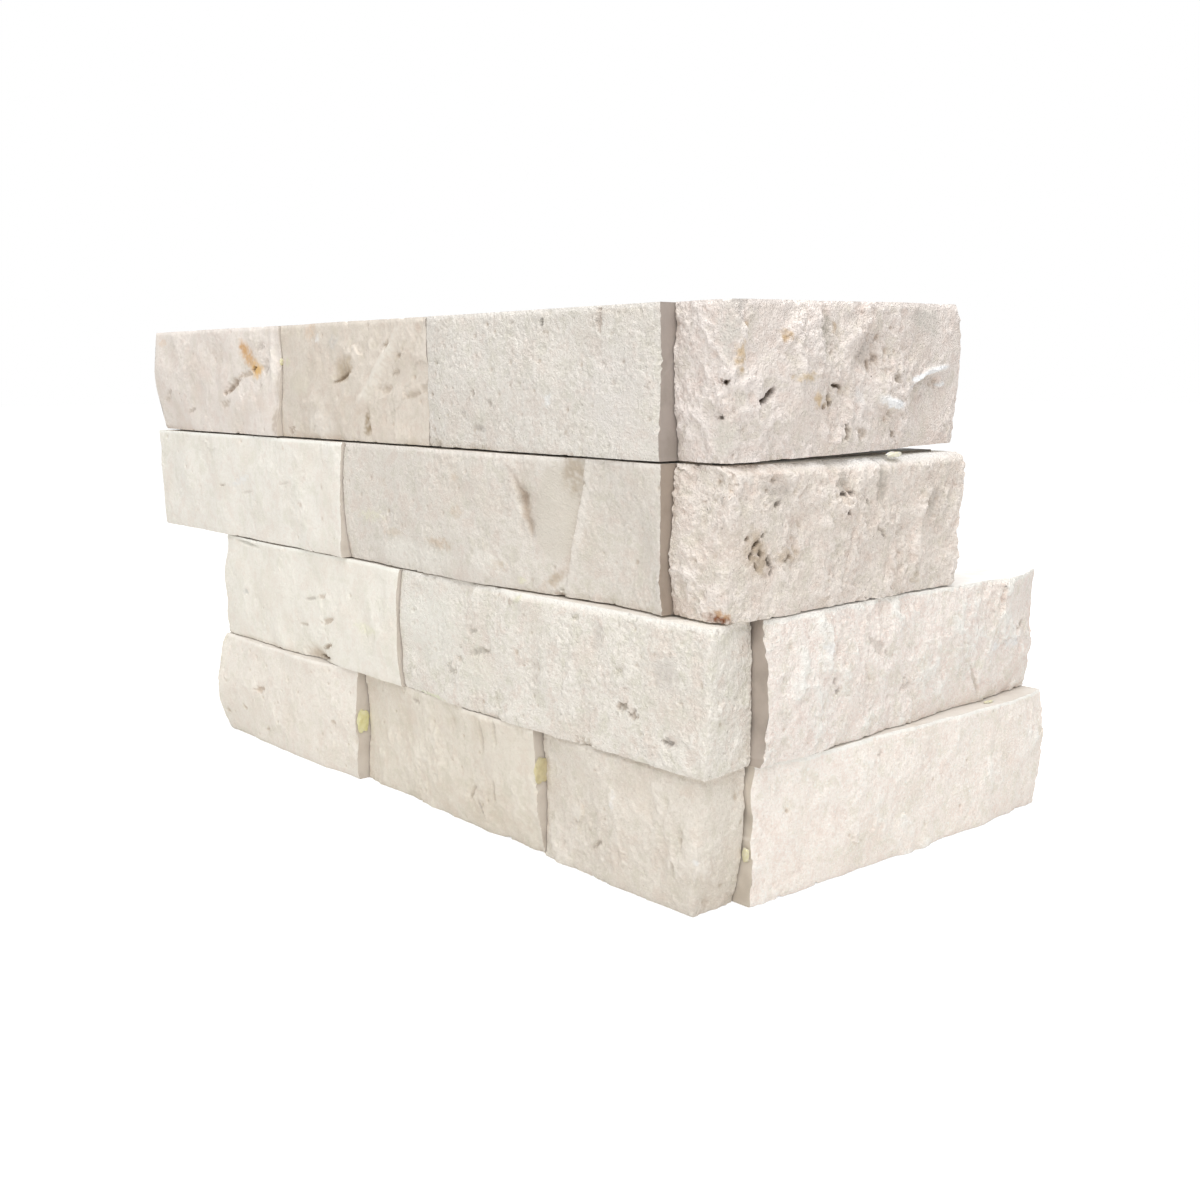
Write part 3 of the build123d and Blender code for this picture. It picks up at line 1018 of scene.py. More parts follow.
@dataclass
class Studio:
    """Plain white studio: pale floor, white surroundings, soft lamps and the camera."""

    place: tuple[float, float, float] = (231.41, -245.02, 133.09)
    azimuth: float = 0.882346
    elevation: float = 0.205341
    roll: float = -0.002423
    lens: float = 40.207
    shift: tuple[float, float] = (0.05, 0.0458)

    def build(self) -> None:
        """Makes the floor, the world, the lamps and the camera."""
        self._floor()
        self._world()
        self._lamps()
        self._camera()

    def _floor(self) -> None:
        """A wide white floor that shows the object's soft shadow and is pure white elsewhere."""
        bpy.ops.object.select_all(action="DESELECT")
        bpy.ops.mesh.primitive_plane_add(size=12.0, location=(0, 0, -0.0002))
        floor = bpy.context.object
        floor.name = "floor"
        made = bpy.data.materials.new("white_paper_floor")
        made.use_nodes = True
        tree = made.node_tree
        tree.nodes.clear()
        paper = add_node(tree, "ShaderNodeBsdfDiffuse", Color=linear("EDEDED"))
        glow = add_node(tree, "ShaderNodeEmission", Color=(1, 1, 1, 1), Strength=0.66)
        both = add_node(tree, "ShaderNodeAddShader", i0=paper.outputs[0], i1=glow.outputs[0])
        seen = add_node(tree, "ShaderNodeLightPath")
        shown = add_node(
            tree, "ShaderNodeMixShader",
            i0=seen.outputs["Is Camera Ray"], i1=paper.outputs[0], i2=both.outputs[0],
        )
        add_node(tree, "ShaderNodeOutputMaterial", Surface=shown.outputs[0])
        floor.data.materials.append(made)

    def _world(self) -> None:
        """Even light from all round, and pure white where the camera or a reflection sees it."""
        world = bpy.data.worlds.new("white_room")
        bpy.context.scene.world = world
        world.use_nodes = True
        tree = world.node_tree
        tree.nodes.clear()
        light = add_node(tree, "ShaderNodeBackground", Color=(1, 1, 1, 1), Strength=0.51)
        white = add_node(tree, "ShaderNodeBackground", Color=(1, 1, 1, 1), Strength=1.0)
        seen = add_node(tree, "ShaderNodeLightPath")
        larger = {"operation": "MAXIMUM"}
        direct = add_node(
            tree, "ShaderNodeMath", larger, i0=seen.outputs["Is Camera Ray"], i1=seen.outputs["Is Glossy Ray"]
        )
        clear = add_node(
            tree, "ShaderNodeMath", larger, i0=direct.outputs[0], i1=seen.outputs["Is Transmission Ray"]
        )
        shown = add_node(
            tree, "ShaderNodeMixShader", i0=clear.outputs[0], i1=light.outputs[0], i2=white.outputs[0]
        )
        add_node(tree, "ShaderNodeOutputWorld", Surface=shown.outputs[0])

    def _lamps(self) -> None:
        """Two soft lamps: one in front of both legs, and one straight above that whitens what faces up."""
        self._lamp("front_lamp", (0.42, -0.49, 0.88), 0.8, 5.9)
        self._lamp("top_lamp", (0.02, 0.03, 1.1), 0.6, 5.0)

    def _lamp(self, name: str, place: tuple[float, float, float], size: float, power: float) -> None:
        """Adds a square lamp aimed at the middle of the corner.

        Args:
            name: The lamp's name.
            place: Where it hangs, in metres.
            size: Its side, in metres.
            power: Its power, in watts.
        """
        light = bpy.data.lights.new(name, "AREA")
        light.size, light.energy = size, power
        lamp = bpy.data.objects.new(name, light)
        lamp.location = place
        aim = Vector((-0.08, 0.0, 0.075)) - Vector(place)
        lamp.rotation_euler = aim.to_track_quat("-Z", "Y").to_euler()
        bpy.context.scene.collection.objects.link(lamp)

    def _camera(self) -> None:
        """The camera at the photograph's angle, distance and framing."""
        back = Vector((
            math.sin(self.azimuth) * math.cos(self.elevation),
            -math.cos(self.azimuth) * math.cos(self.elevation),
            math.sin(self.elevation),
        ))
        level = Vector((math.cos(self.azimuth), math.sin(self.azimuth), 0.0))
        upright = back.cross(level)
        right = math.cos(self.roll) * level + math.sin(self.roll) * upright
        top = -math.sin(self.roll) * level + math.cos(self.roll) * upright
        data = bpy.data.cameras.new("photo_camera")
        data.sensor_width, data.lens = 36.0, self.lens
        data.shift_x, data.shift_y = self.shift
        data.clip_start, data.clip_end = 0.02, 20.0
        camera = bpy.data.objects.new("photo_camera", data)
        turned = Matrix((right, top, back)).transposed().to_4x4()
        turned.translation = Vector(self.place) * MM
        camera.matrix_world = turned
        bpy.context.scene.collection.objects.link(camera)
        bpy.context.scene.camera = camera


def first_course() -> Course:
    """The bottom course: three strips of the long leg and one of the short leg."""
    left = Strip(
        "course_1_long_stone_1", Leg.LONG,
        Cleft(11, broad=0.9, facet=0.45, crest=0.12, nibble=0.08, grit=0.06, calm=0.6, specks=0.25),
        SplitLimestone("F4EDE2", patchiness=0.55, dapple=0.6), marks(
            (RIDGE, -185, 37.5, 7, 42, 1.0, 90), (PIT, -205.8, 20, 2.5, 1.2, 1.0, 25, plain("A07850")),
            (PIT, -216.8, 11.5, 1.2, 0.8, 0.9, 0, plain("A98A66")),
            (PIT, -229.8, 8, 1.2, 0.8, 0.9, 0, plain("A98A66")),
            (PIT, -200.8, 6, 1.2, 0.8, 0.9, 0, plain("A98A66")),
            (PIT, -155.8, 17, 1.2, 0.8, 0.9, 0, plain("A98A66")), (CHIP, -143, 13, 5, 6, 1.6, 0),
        ),
        free_end=True,
    )
    middle = Strip(
        "course_1_long_stone_2", Leg.LONG,
        Cleft(
            12, broad=0.9, facet=0.8, crest=0.3, nibble=0.15, pitted=0.15, calm=0.4, drawn=1.7, specks=0.1,
        ),
        SplitLimestone("EAE2D4", patchiness=0.8, dapple=0.6), marks(
            (RIDGE, -88, 37.5, 8, 44, 1.7, 90), (PIT, -71.2, 30, 0.9, 5, 0.9, 0, plain("A08A6C")),
            (PIT, -64.2, 33, 0.8, 4, 0.8, 0, plain("A08A6C")),
            (PIT, -78.2, 11, 2.5, 0.6, 1.0, 60, plain("7A6448")),
            (PIT, -74.2, 7, 2.5, 0.6, 1.0, -55, plain("7A6448")),
            (PIT, -67.2, 14, 0.6, 4, 0.8, 0, plain("8A7458")),
            (PIT, -108.2, 33.5, 2, 0.8, 0.8, 10, plain("9A8468")),
            (STAIN_OR_PAINTED_LIGHT, -105, 15, 2.5, 2, 0, 0, plain("C8B498"), 0.5),
            (STAIN_OR_PAINTED_LIGHT, -111, 23, 3, 2.5, 0, 0, plain("C8B498"), 0.5),
            (STAIN_OR_PAINTED_LIGHT, -92, 28, 4, 2, 0, 0, plain("CDB89C"), 0.5),
            (STAIN_OR_PAINTED_LIGHT, -69, 22, 3, 5, 0, 0, plain("BFA98C"), 0.6),
        ),
    )
    corner = Strip(
        "course_1_long_stone_3", Leg.LONG,
        Cleft(
            13, broad=0.9, facet=0.75, crest=0.3, nibble=0.16, grit=0.1, pitted=0.18, calm=0.3, specks=0.1,
        ),
        SplitLimestone("E9E1D5", patchiness=0.6, dapple=0.7, mottle=1.0, grain=0.8), marks(
            # the pale colour of the second ridge, along the rounded head, is painted highlight
            (RIDGE, -22, 37.5, 9, 32, 2.2, 90), (RIDGE, -20, 37.3, 1.5, 30, -1.3, 90, "F6F1E8", 0.8),
            (PIT, -22.5, 10, 2.5, 0.6, 1.0, 40, plain("8A7458")),
            (PIT, 6.5, 12, 0.5, 2, 0.8, 0, plain("A08A70")),
            (PIT, 9.5, 20, 0.5, 2.5, 0.8, 0, plain("A08A70")),
            (STAIN_OR_PAINTED_LIGHT, -15.5, 24, 0.8, 3, 0, 0, plain("F8F4EE")),
            (STAIN_OR_PAINTED_LIGHT, -4.5, 27, 5, 6, 0, 0, plain("D8C0A0"), 0.5),
            (STAIN_OR_PAINTED_LIGHT, 3.5, 18, 4, 3, 0, 0, plain("D8C0A0"), 0.5),
            (STAIN_OR_PAINTED_LIGHT, -13.5, 3, 4, 2, 0, 0, plain("D8C0A0"), 0.5),
            (STAIN_OR_PAINTED_LIGHT, -28.5, 28, 3, 4, 0, 0, plain("D8C0A0"), 0.5),
            (STAIN_OR_PAINTED_LIGHT, 14.5, 16, 1.2, 1, 0, 0, plain("FBF8F4")),
        ),
        turns_corner=True,
    )
    short = Strip(
        "course_1_short_stone", Leg.SHORT,
        Cleft(14, broad=1.0, facet=0.65, crest=0.2, nibble=0.14, calm=0.5, drawn=1.6, specks=0.08),
        SplitLimestone("FEF5EC", patchiness=0.6, dapple=0.9, mottle=1.0, grain=0.9),
        marks((PIT, 49.8, 32, 1, 0.8, 1.0, 0, plain("9A8878"))),
        free_end=True, end=SawnLimestone("D6CCBE", "C8BDAE"),
    )
    return Course(1, (left, middle, corner, short))


def second_course() -> Course:
    """The second course: two strips of the long leg and one of the short leg."""
    left = Strip(
        "course_2_long_stone_1", Leg.LONG,
        Cleft(21, broad=0.9, facet=0.45, crest=0.1, nibble=0.06, grit=0.05, calm=0.8),
        SplitLimestone("F8F3E8", patchiness=0.5, dapple=0.5, mottle=0.3), marks(
            (CHIP, -168, 39, 9, 5, 2.4), (PIT, -160, 43, 3.5, 0.8, 1.1, 18, "B9A895", 0.8),
            (PIT, -163.5, 38.6, 4.5, 0.7, 1.4, 4, "8F7F6F", 0.85),
            (PIT, -174.8, 48.8, 3, 0.5, 0.6, 5, plain("B09A78")),
            (PIT, -158.8, 52, 3.5, 1, 0.9, 15, plain("A07E58")),
            (PIT, -168.8, 58.5, 4, 0.6, 0.7, 10, plain("B0A088")),
            (PIT, -161.8, 60, 2, 0.8, 0.6, 10, plain("C0A080")),
            (STAIN_OR_PAINTED_LIGHT, -132.8, 53, 7, 2, 0, 0, plain("E8E0A8")),
            (PIT, -216.8, 55, 1.5, 1, 0.5, 0, plain("B8B4A4")),
            (PIT, -216, 73, 9, 0.6, 0.8, -3, plain("A09C84")),
        ),
        free_end=True,
    )
    corner = Strip(
        "course_2_long_stone_2", Leg.LONG,
        Cleft(
            22, broad=0.9, facet=0.45, crest=0.2, nibble=0.2, grit=0.13, pitted=0.24, calm=0.3, drawn=1.9,
            lean=-25, side=0.5, specks=0.2,
        ),
        SplitLimestone("F1EBE1", patchiness=0.8, dapple=1.0, mottle=1.0, grain=1.2), marks(
            # the pale colour of this ridge along the head arris is painted highlight
            (RIDGE, -48, 74.6, 2.0, 76, -1.1, 90, "FAF7F0", 0.9),
            (STAIN_OR_PAINTED_LIGHT, -97, 60, 20, 15, 0, 0, "F5F2E8", 0.8), (STAIN_OR_PAINTED_LIGHT, -72, 49, 8, 7, 0, 0, "F1EEE0", 0.5),
            (SCOOP, -80, 53.5, 8, 5, 0.6, 20), (RIDGE, -86, 62, 2, 8, 0.7, -30),
            (SCOOP, -104, 50, 9, 5, 0.7, -20), (PIT, -70.8, 55.5, 4, 1, 1.0, 15, plain("A89880")),
            (PIT, -74.8, 61, 2, 0.8, 0.8, 15, plain("A89880")), (PIT, -80.8, 51.5, 1.5, 1, 0.9),
            (PIT, -84.8, 48, 2.5, 1.5, 1.0, 0, plain("A89880")),
            (STAIN_OR_PAINTED_LIGHT, -56.8, 72, 1.3, 1, 0, 0, plain("8A6440")),
            (STAIN_OR_PAINTED_LIGHT, -53.8, 73, 1.6, 1, 0, 0, plain("D8D08A")), (PIT, -10.5, 51, 1.6, 1.2, 1.0, 0, "B8AA9B"),
            (PIT, -6.5, 49.5, 1.4, 1.0, 1.0, 0, "B8AA9B"), (FACET, 4, 61, 4, 5),
            (SCOOP, 4, 61, 5, 6, 0.9, 0, "D9D1C8", 0.8), (SCOOP, -21, 67, 2.5, 5, 0.8, 0, "D5CEC5", 0.6),
            (SCOOP, -46, 53, 4, 6, 0.7, 0, "DAD3C8", 0.5), (PIT, -11.8, 60, 1.5, 1, 0.9),
            (PIT, 5.2, 44.5, 2, 0.8, 1.4, 0, plain("8A7C6C")), (PIT, -29.8, 71, 1.5, 0.8, 0.9),
            (CHIP, -25, 37.6, 4.5, 2, 2.4), (STAIN_OR_PAINTED_LIGHT, -95.8, 37.8, 8, 0.9, 0, 0, plain("D8DC90"), 0.8),
        ),
        turns_corner=True,
    )
    short = Strip(
        "course_2_short_stone", Leg.SHORT,
        Cleft(
            23, broad=1.2, facet=0.75, crest=0.35, nibble=0.26, grit=0.15, pitted=0.2, calm=0.2, drawn=1.3,
            specks=0.1,
        ),
        SplitLimestone("FDF3EB", patchiness=0.6, dapple=1.0, mottle=1.0, grain=1.3), marks(
            (STAIN_OR_PAINTED_LIGHT, 25, 65, 4, 2, 0, 0, plain("FBF7F2"), 0.8),
            (STAIN_OR_PAINTED_LIGHT, 6, 50, 2, 2, 0, 0, plain("B8A08C"), 0.5),
            (PIT, 47.5, 62, 4, 1.5, 0.8, -40, plain("BFA892")),
            (PIT, 62.6, 49, 2, 1.5, 0.8, 0, plain("BFA892")),
            (PIT, 30, 53, 1.2, 0.8, 1.0, 0, plain("8A7868")),
            (PIT, 28, 56, 1, 0.7, 1.0, 0, plain("8A7868")),
            (PIT, 98.5, 45, 6, 0.6, 0.9, -55, plain("A08A70")),
            (STAIN_OR_PAINTED_LIGHT, 107, 54.5, 3, 2, 0, 0, plain("FFFDF8"), 0.8),
            (STAIN_OR_PAINTED_LIGHT, 117, 54, 5, 2, 0, 0, plain("FFFDF8"), 0.8),
            (PIT, 123, 59, 3, 1, 1.2, 10, plain("8A7458")),
            (STAIN_OR_PAINTED_LIGHT, 99, 50, 3, 2, 0, 0, plain("DDD6A8"), 0.5),
        ),
        # the whiter bed is painted highlight on the top face
        free_end=True, bed=SawnLimestone("FBF8F4", "F3EEE8"), end=SawnLimestone("B8ACA1", "A99D92"),
    )
    return Course(2, (left, corner, short))


def third_course() -> Course:
    """The third course: two strips of the long leg and the one that turns the corner."""
    left = Strip(
        "course_3_long_stone_1", Leg.LONG,
        Cleft(31, broad=0.8, facet=0.42, crest=0.12, nibble=0.08, grit=0.05, calm=0.8, specks=0.08),
        SplitLimestone("F9F4EA", patchiness=0.6, dapple=0.6, mottle=0.35), marks(
            (STAIN_OR_PAINTED_LIGHT, -183.4, 109, 0.8, 0.8, 0, 0, plain("B98A60")),
            (STAIN_OR_PAINTED_LIGHT, -172.4, 90.5, 1.4, 1.3, 0, 0, plain("9C7A5A")),
            (STAIN_OR_PAINTED_LIGHT, -157.4, 97.5, 1, 1, 0, 0, plain("A98A6A")),
            (STAIN_OR_PAINTED_LIGHT, -157.4, 87, 1, 1, 0, 0, plain("A98A6A")),
            (PIT, -183.4, 97, 3.5, 0.5, 0.4, 8, "DDD4C9", 0.5),
            (PIT, -213.4, 92, 4.5, 0.6, 0.4, 8, "DFD6CB", 0.5),
            (PIT, -231.4, 93.5, 2, 0.5, 0.6, 8, plain("AC9478")),
            (STAIN_OR_PAINTED_LIGHT, -217.4, 96, 8, 1.5, 0, 15, plain("F6F3EC"), 0.6),
        ),
        free_end=True,
    )
    right = Strip(
        "course_3_long_stone_2", Leg.LONG,
        Cleft(
            32, broad=0.8, facet=0.35, crest=0.18, nibble=0.12, grit=0.1, pitted=0.15, calm=0.4, side=0.3,
            specks=0.12,
        ),
        SplitLimestone("E6DFD5", patchiness=0.7, dapple=0.8, mottle=0.8, grain=0.8), marks(
            (STAIN_OR_PAINTED_LIGHT, -90, 85, 7, 2, 0, 0, "D5C5B2", 0.9), (STAIN_OR_PAINTED_LIGHT, -81, 95, 3, 2, 0, 0, "D8CAB9", 0.8),
            (STAIN_OR_PAINTED_LIGHT, -116, 86, 6, 1.5, 0, 0, "DACDBC", 0.8),
            (STAIN_OR_PAINTED_LIGHT, -123, 101, 2.5, 1.5, 0, 0, "DCD0C2", 0.8),
            (STAIN_OR_PAINTED_LIGHT, -82, 104.5, 2, 1.2, 0, 0, "D8CAB9", 0.8),
            (STAIN_OR_PAINTED_LIGHT, -64, 81.5, 4, 1.5, 0, 0, "D9CBB8", 0.8), (STAIN_OR_PAINTED_LIGHT, -130, 90, 8, 2, 0, 0, "E6E2C9", 0.6),
            # the browns of these two scoops, the grey of the facet, the brown of the step at -54 and the
            # brown patch at (-33.5, 108) are painted shade; the pale line along the facet edge is painted
            # highlight
            (SCOOP, -53, 101, 2, 3, 1.0, 0, plain("A99580")),
            (SCOOP, -52, 92, 3.5, 4, 0.8, 0, plain("B5A28C")),
            (FACET, -41, 97, 7.5, 13, 0, -8, "DBD3C6", 0.75),
            (STEP, -54, 98, 5, 11, 1.9, 18, "B9A896", 0.85, 0.8),
            (STEP, -32.6, 96, 8, 21, 2.2, 165, "", 0.7, 0.8),
            (STAIN_OR_PAINTED_LIGHT, -31.2, 96, 1.6, 20, 0, -15, "EEE7DD", 0.85),
            (STAIN_OR_PAINTED_LIGHT, -33.5, 108, 4.5, 6, 0, -15, "C3B6A4", 1.0),
            (STAIN_OR_PAINTED_LIGHT, -42, 79.5, 4.5, 1.8, 0, 35, "CDBEAB", 0.9),
            (STEP, -43, 80, 4, 5, 1.0, -55, "", 0.7, 0.8), (SCOOP, -10, 92, 5, 12, 0.8),
            (STAIN_OR_PAINTED_LIGHT, -105, 80.5, 24, 5, 0, 0, "EFEAE0", 0.9), (STAIN_OR_PAINTED_LIGHT, -69, 82, 6, 4, 0, 0, "EDE8DE", 0.8),
            (STAIN_OR_PAINTED_LIGHT, -54, 78, 2, 1, 0, 0, plain("D9D08A")), (CHIP, -40, 75.2, 2.5, 1.8, 2.0),
        ),
        end=SawnLimestone("AA9C8F", "9C8E81"),
    )
    short = Strip(
        "course_3_short_stone", Leg.SHORT,
        Cleft(
            33, broad=1.3, facet=0.85, crest=0.4, nibble=0.34, grit=0.2, pitted=0.24, calm=0.2, drawn=1.15,
            lean=-25, specks=0.15,
        ),
        SplitLimestone("F2E8DE", patchiness=1.0, dapple=0.9, mottle=1.0, grain=1.5), marks(
            (STAIN_OR_PAINTED_LIGHT, -3.5, 92.5, 4, 5.5, 0, 0, "C1AE97", 0.9), (STAIN_OR_PAINTED_LIGHT, -1, 88.5, 3, 3, 0, 0, "C6B49E", 0.9),
            (STAIN_OR_PAINTED_LIGHT, 9, 90, 5.5, 2.2, 0, 0, "CCBBA7", 0.9),
            # the dark floors of the pits that follow are partly their own brown and partly painted shade
            (PIT, -5.2, 91, 0.5, 1.1, 1.6, -35, "6E6254", 0.95),
            (PIT, -3.4, 93.8, 0.45, 1.1, 1.5, -50, "7A6C5C", 0.9),
            (PIT, -2, 91.2, 0.5, 1.2, 1.6, 10, "6E6254", 0.95),
            (PIT, -3.4, 88.2, 0.4, 1.6, 1.2, 20, "7A6C5C"),
            (PIT, 1.6, 88.8, 0.6, 1.5, 1.5, 35, "6E6254", 0.95),
            (PIT, 2.6, 86.6, 0.4, 0.9, 1.2, -20, "7A6C5C"), (PIT, -0.8, 95.8, 0.4, 0.9, 1.2, -55, "80715F"),
            (PIT, -5.8, 95.5, 0.4, 1.1, 1.0, -60, "8F7F6C"), (PIT, 8.5, 89.4, 0.5, 1.8, 0.9, -70, "9F8F7C"),
            (PIT, 27.5, 103.8, 1.2, 0.6, 1.4, 0, "746C65"), (PIT, 30.6, 104, 0.8, 0.7, 1.2, 0, "746C65"),
            (PIT, 29.5, 99.4, 1, 0.6, 1.2, 0, "7E766E"), (PIT, 38.5, 101.5, 0.8, 0.6, 1.2, 0, "8A8178"),
            (PIT, 3.5, 103, 0.9, 0.7, 1.2, 0, "8A8178"), (SCOOP, 3.5, 106, 4.5, 4, 0.9, 0, "C9C0B7", 0.7),
            (SCOOP, 45, 105.5, 3.2, 7, 1.3, 0, "C5BDB2", 0.8),
            (SCOOP, 27.5, 107, 3, 3.5, 0.9, 0, "C7C0B6", 0.7),
            (SCOOP, 70, 99, 4.5, 5, 1.0, 0, "CFC7BE", 0.6), (STEP, 57, 93.5, 5, 7, 1.0, -75, "", 0.7, 0.8),
            (RIDGE, 64, 90, 2.2, 12, 1.2), (STEP, 34, 90, 5, 11, 1.0, 170, "", 0.7, 0.8),
            (STAIN_OR_PAINTED_LIGHT, 64, 79.5, 2.2, 2, 0, 0, "CDBEAA", 0.8),
            (STAIN_OR_PAINTED_LIGHT, 70.5, 91.5, 0.9, 0.9, 0, 0, plain("FFFDF8")),
            (PIT, 46, 92.8, 2.5, 0.6, 0.9, -40, "B5A99E"), (STAIN_OR_PAINTED_LIGHT, -13, 108, 3, 2, 0, 0, "DED4C8", 0.6),
            # the white of this ridge along the head is painted highlight on the lit ledge
            (RIDGE, 46, 112.3, 2.8, 50, -1.8, 90, "FFFDFA", 1.0),
            (STAIN_OR_PAINTED_LIGHT, -15.5, 76.1, 4.6, 1.3, 0, -8, "8E5A38", 1.0),
            (STAIN_OR_PAINTED_LIGHT, -14.5, 77.4, 3.5, 0.9, 0, -12, "D8B18A", 0.9),
        ),
        # the whiter bed is painted highlight on the top face
        turns_corner=True, free_end=True, bed=SawnLimestone("FBF8F4", "F1ECE5"),
    )
    return Course(3, (left, right, short))


def fourth_course() -> Course:
    """The top course: three strips of the long leg and the one that turns the corner."""
    left = Strip(
        "course_4_long_stone_1", Leg.LONG,
        Cleft(
            41, broad=1.2, facet=0.5, crest=0.12, nibble=0.08, calm=0.7, drawn=1.5, lean=-60, specks=0.08,
        ),
        SplitLimestone("F0E7DE", patchiness=0.9, dapple=0.6, mottle=0.4, grain=0.3), marks(
            (STAIN_OR_PAINTED_LIGHT, -277.2, 146, 4, 1.5, 0, 0, plain("D9A36B"), 0.6),
            (SCOOP, -210.5, 133.8, 6, 1.4, 0.8, 8, "CBBBA8", 0.8),
            (SCOOP, -221, 129.8, 6.5, 2.0, 1.1, 25, "C9B9A8", 0.8),
            (SCOOP, -226, 123.3, 3.8, 1.7, 0.6, 10, "CDBFB0", 0.8),
            (STAIN_OR_PAINTED_LIGHT, -209, 140.4, 7.0, 3.8, 0, -38, "DBB68C", 1.0),
            (STAIN_OR_PAINTED_LIGHT, -212.5, 143, 2.5, 1.5, 0, -38, "D2A777", 1.0),
            (STAIN_OR_PAINTED_LIGHT, -203.6, 135.6, 4.4, 3.4, 0, 0, "EDC384", 1.0),
            # the near-black floor of this pit is partly its own brown and partly painted shade
            (PIT, -205.3, 136, 1.3, 0.6, 2.0, 25, "5E4630", 1.0),
            (PIT, -218.3, 130.6, 2.6, 1.1, 0.9, 25, "B5A595"),
            (PIT, -223.6, 128.3, 2.3, 1.0, 0.9, 20, "B5A595"),
            (SCOOP, -197.3, 136.5, 2.4, 3.0, 0.9, 0, "C3B8AD", 0.8),
            (SCOOP, -200.5, 143, 3.0, 1.6, 0.8, 20, "C9BFB5", 0.7),
            (SCOOP, -200.5, 129.8, 1.8, 1.2, 0.5, 0, "CDC3B9", 0.6),
            (RIDGE, -192.5, 138, 2.4, 14, 0.9, 3, "F5F0E8", 0.3),
            # these three patches are painted shade where the strip falls away to its joint
            (STAIN_OR_PAINTED_LIGHT, -189, 129, 3, 4, 0, 0, plain("B09A80"), 0.6),
            (STAIN_OR_PAINTED_LIGHT, -189, 118, 2.6, 6, 0, 0, "C9BBAC", 0.8),
            (STAIN_OR_PAINTED_LIGHT, -188.6, 130, 1.8, 7, 0, 0, "D2C6B8", 0.8), (RIDGE, -253.7, 136.5, 2.2, 8, 0.8, -66),
            (RIDGE, -265, 128, 2.2, 6, 0.6, -75), (RIDGE, -227, 134, 2.2, 7, 0.8, -60),
            (SCOOP, -247, 124, 12, 7, 0.7, 20), (SCOOP, -235, 143, 12, 6, 0.6, -20),
            (PIT, -255, 120.5, 3, 0.8, 0.6, 15, plain("9C8468")),
            (PIT, -271, 127.3, 3, 0.9, 0.6, 15, "CBBFB3"),
            (PIT, -274.5, 124.8, 3, 0.9, 0.5, 15, "D6CABC", 0.6),
        ),
        free_end=True,
    )
    middle = Strip(
        "course_4_long_stone_2", Leg.LONG,
        Cleft(
            42, broad=0.9, facet=0.75, crest=0.28, nibble=0.14, pitted=0.12, calm=0.45, drawn=2.0, lean=-40,
            side=0.3,
        ),
        SplitLimestone("E4DACD", patchiness=0.7, dapple=0.6), marks(
            (STAIN_OR_PAINTED_LIGHT, -166, 147.5, 5, 3, 0, 0, "E6CFB8", 0.7),
            (STAIN_OR_PAINTED_LIGHT, -160.5, 145, 1.5, 1.4, 0, 0, plain("F4EFE6")),
            (STAIN_OR_PAINTED_LIGHT, -183, 138, 1.8, 1.4, 0, 0, "DDDBB8", 0.8),
            # the browns of this scoop, patch and slit are painted shade under the lip of the hollow
            (SCOOP, -144.5, 135.5, 7.5, 4.6, 1.3, 18, "C6B69F", 0.85),
            (STAIN_OR_PAINTED_LIGHT, -144, 134, 5.5, 2.2, 0, 18, "B5A38C", 0.8),
            (PIT, -145.8, 132.6, 5.2, 0.7, 0.8, 18, "8F7D67", 0.9), (FACET, -124.5, 135.5, 3.2, 19, 0, -44),
            # the pale band along the long crest is painted highlight
            (STAIN_OR_PAINTED_LIGHT, -124.5, 135.5, 2.6, 19, 0, -44, "F0E9DD", 0.9),
            (RIDGE, -124.5, 135.5, 3.2, 20, 1.5, -44), (RIDGE, -138.5, 122, 2.2, 9, 1.2, -38),
            (RIDGE, -147, 124, 2.0, 8, 0.8, -50), (RIDGE, -112, 139, 2.2, 9, 0.9, -52),
            # the brown patch by this step is painted shade in the pocket
            (STEP, -130.5, 118.5, 4, 6.5, 2.2, 190, "", 0.7, 0.8),
            (STAIN_OR_PAINTED_LIGHT, -132.6, 118.5, 2.2, 4.8, 0, -10, "A8977F", 1.0),
            (SCOOP, -122.5, 129, 3.5, 1.6, 0.7, 0, "CFC1B0", 0.7),
            (PIT, -120.5, 142.3, 1.8, 0.9, 0.9, 30, "C5B8A8"),
            (PIT, -113.8, 139.2, 2.2, 0.9, 0.9, 15, "CBBEAE"),
            (PIT, -117, 134.3, 1.8, 0.9, 0.7, 15, "CDC1B1"),
            (STAIN_OR_PAINTED_LIGHT, -103.5, 147, 1.5, 2, 0, 0, "D6C6B8", 0.8),
            (SCOOP, -101, 129.5, 3, 2, 0.7, 0, "D4C8B9", 0.7), (RIDGE, -125, 126, 1.3, 8, 0.7, -72),
            (RIDGE, -107, 129.5, 1.3, 6, 0.6, -76), (RIDGE, -167, 124.5, 2.0, 7, 0.7, -80),
            (PIT, -108, 127.5, 4, 0.8, 0.7, 12, "D0C3B3"), (STAIN_OR_PAINTED_LIGHT, -150, 144, 4, 2.5, 0, 0, "D5D1CA", 0.6),
            (PIT, -180.5, 115, 2, 1, 0.8, 0, "C2B3A2"), (STAIN_OR_PAINTED_LIGHT, -172, 130, 7, 4, 0, 0, "DDD6C4", 0.5),
            (STAIN_OR_PAINTED_LIGHT, -160, 118, 9, 4, 0, 0, "EFE9DF", 0.5),
        ),
    )
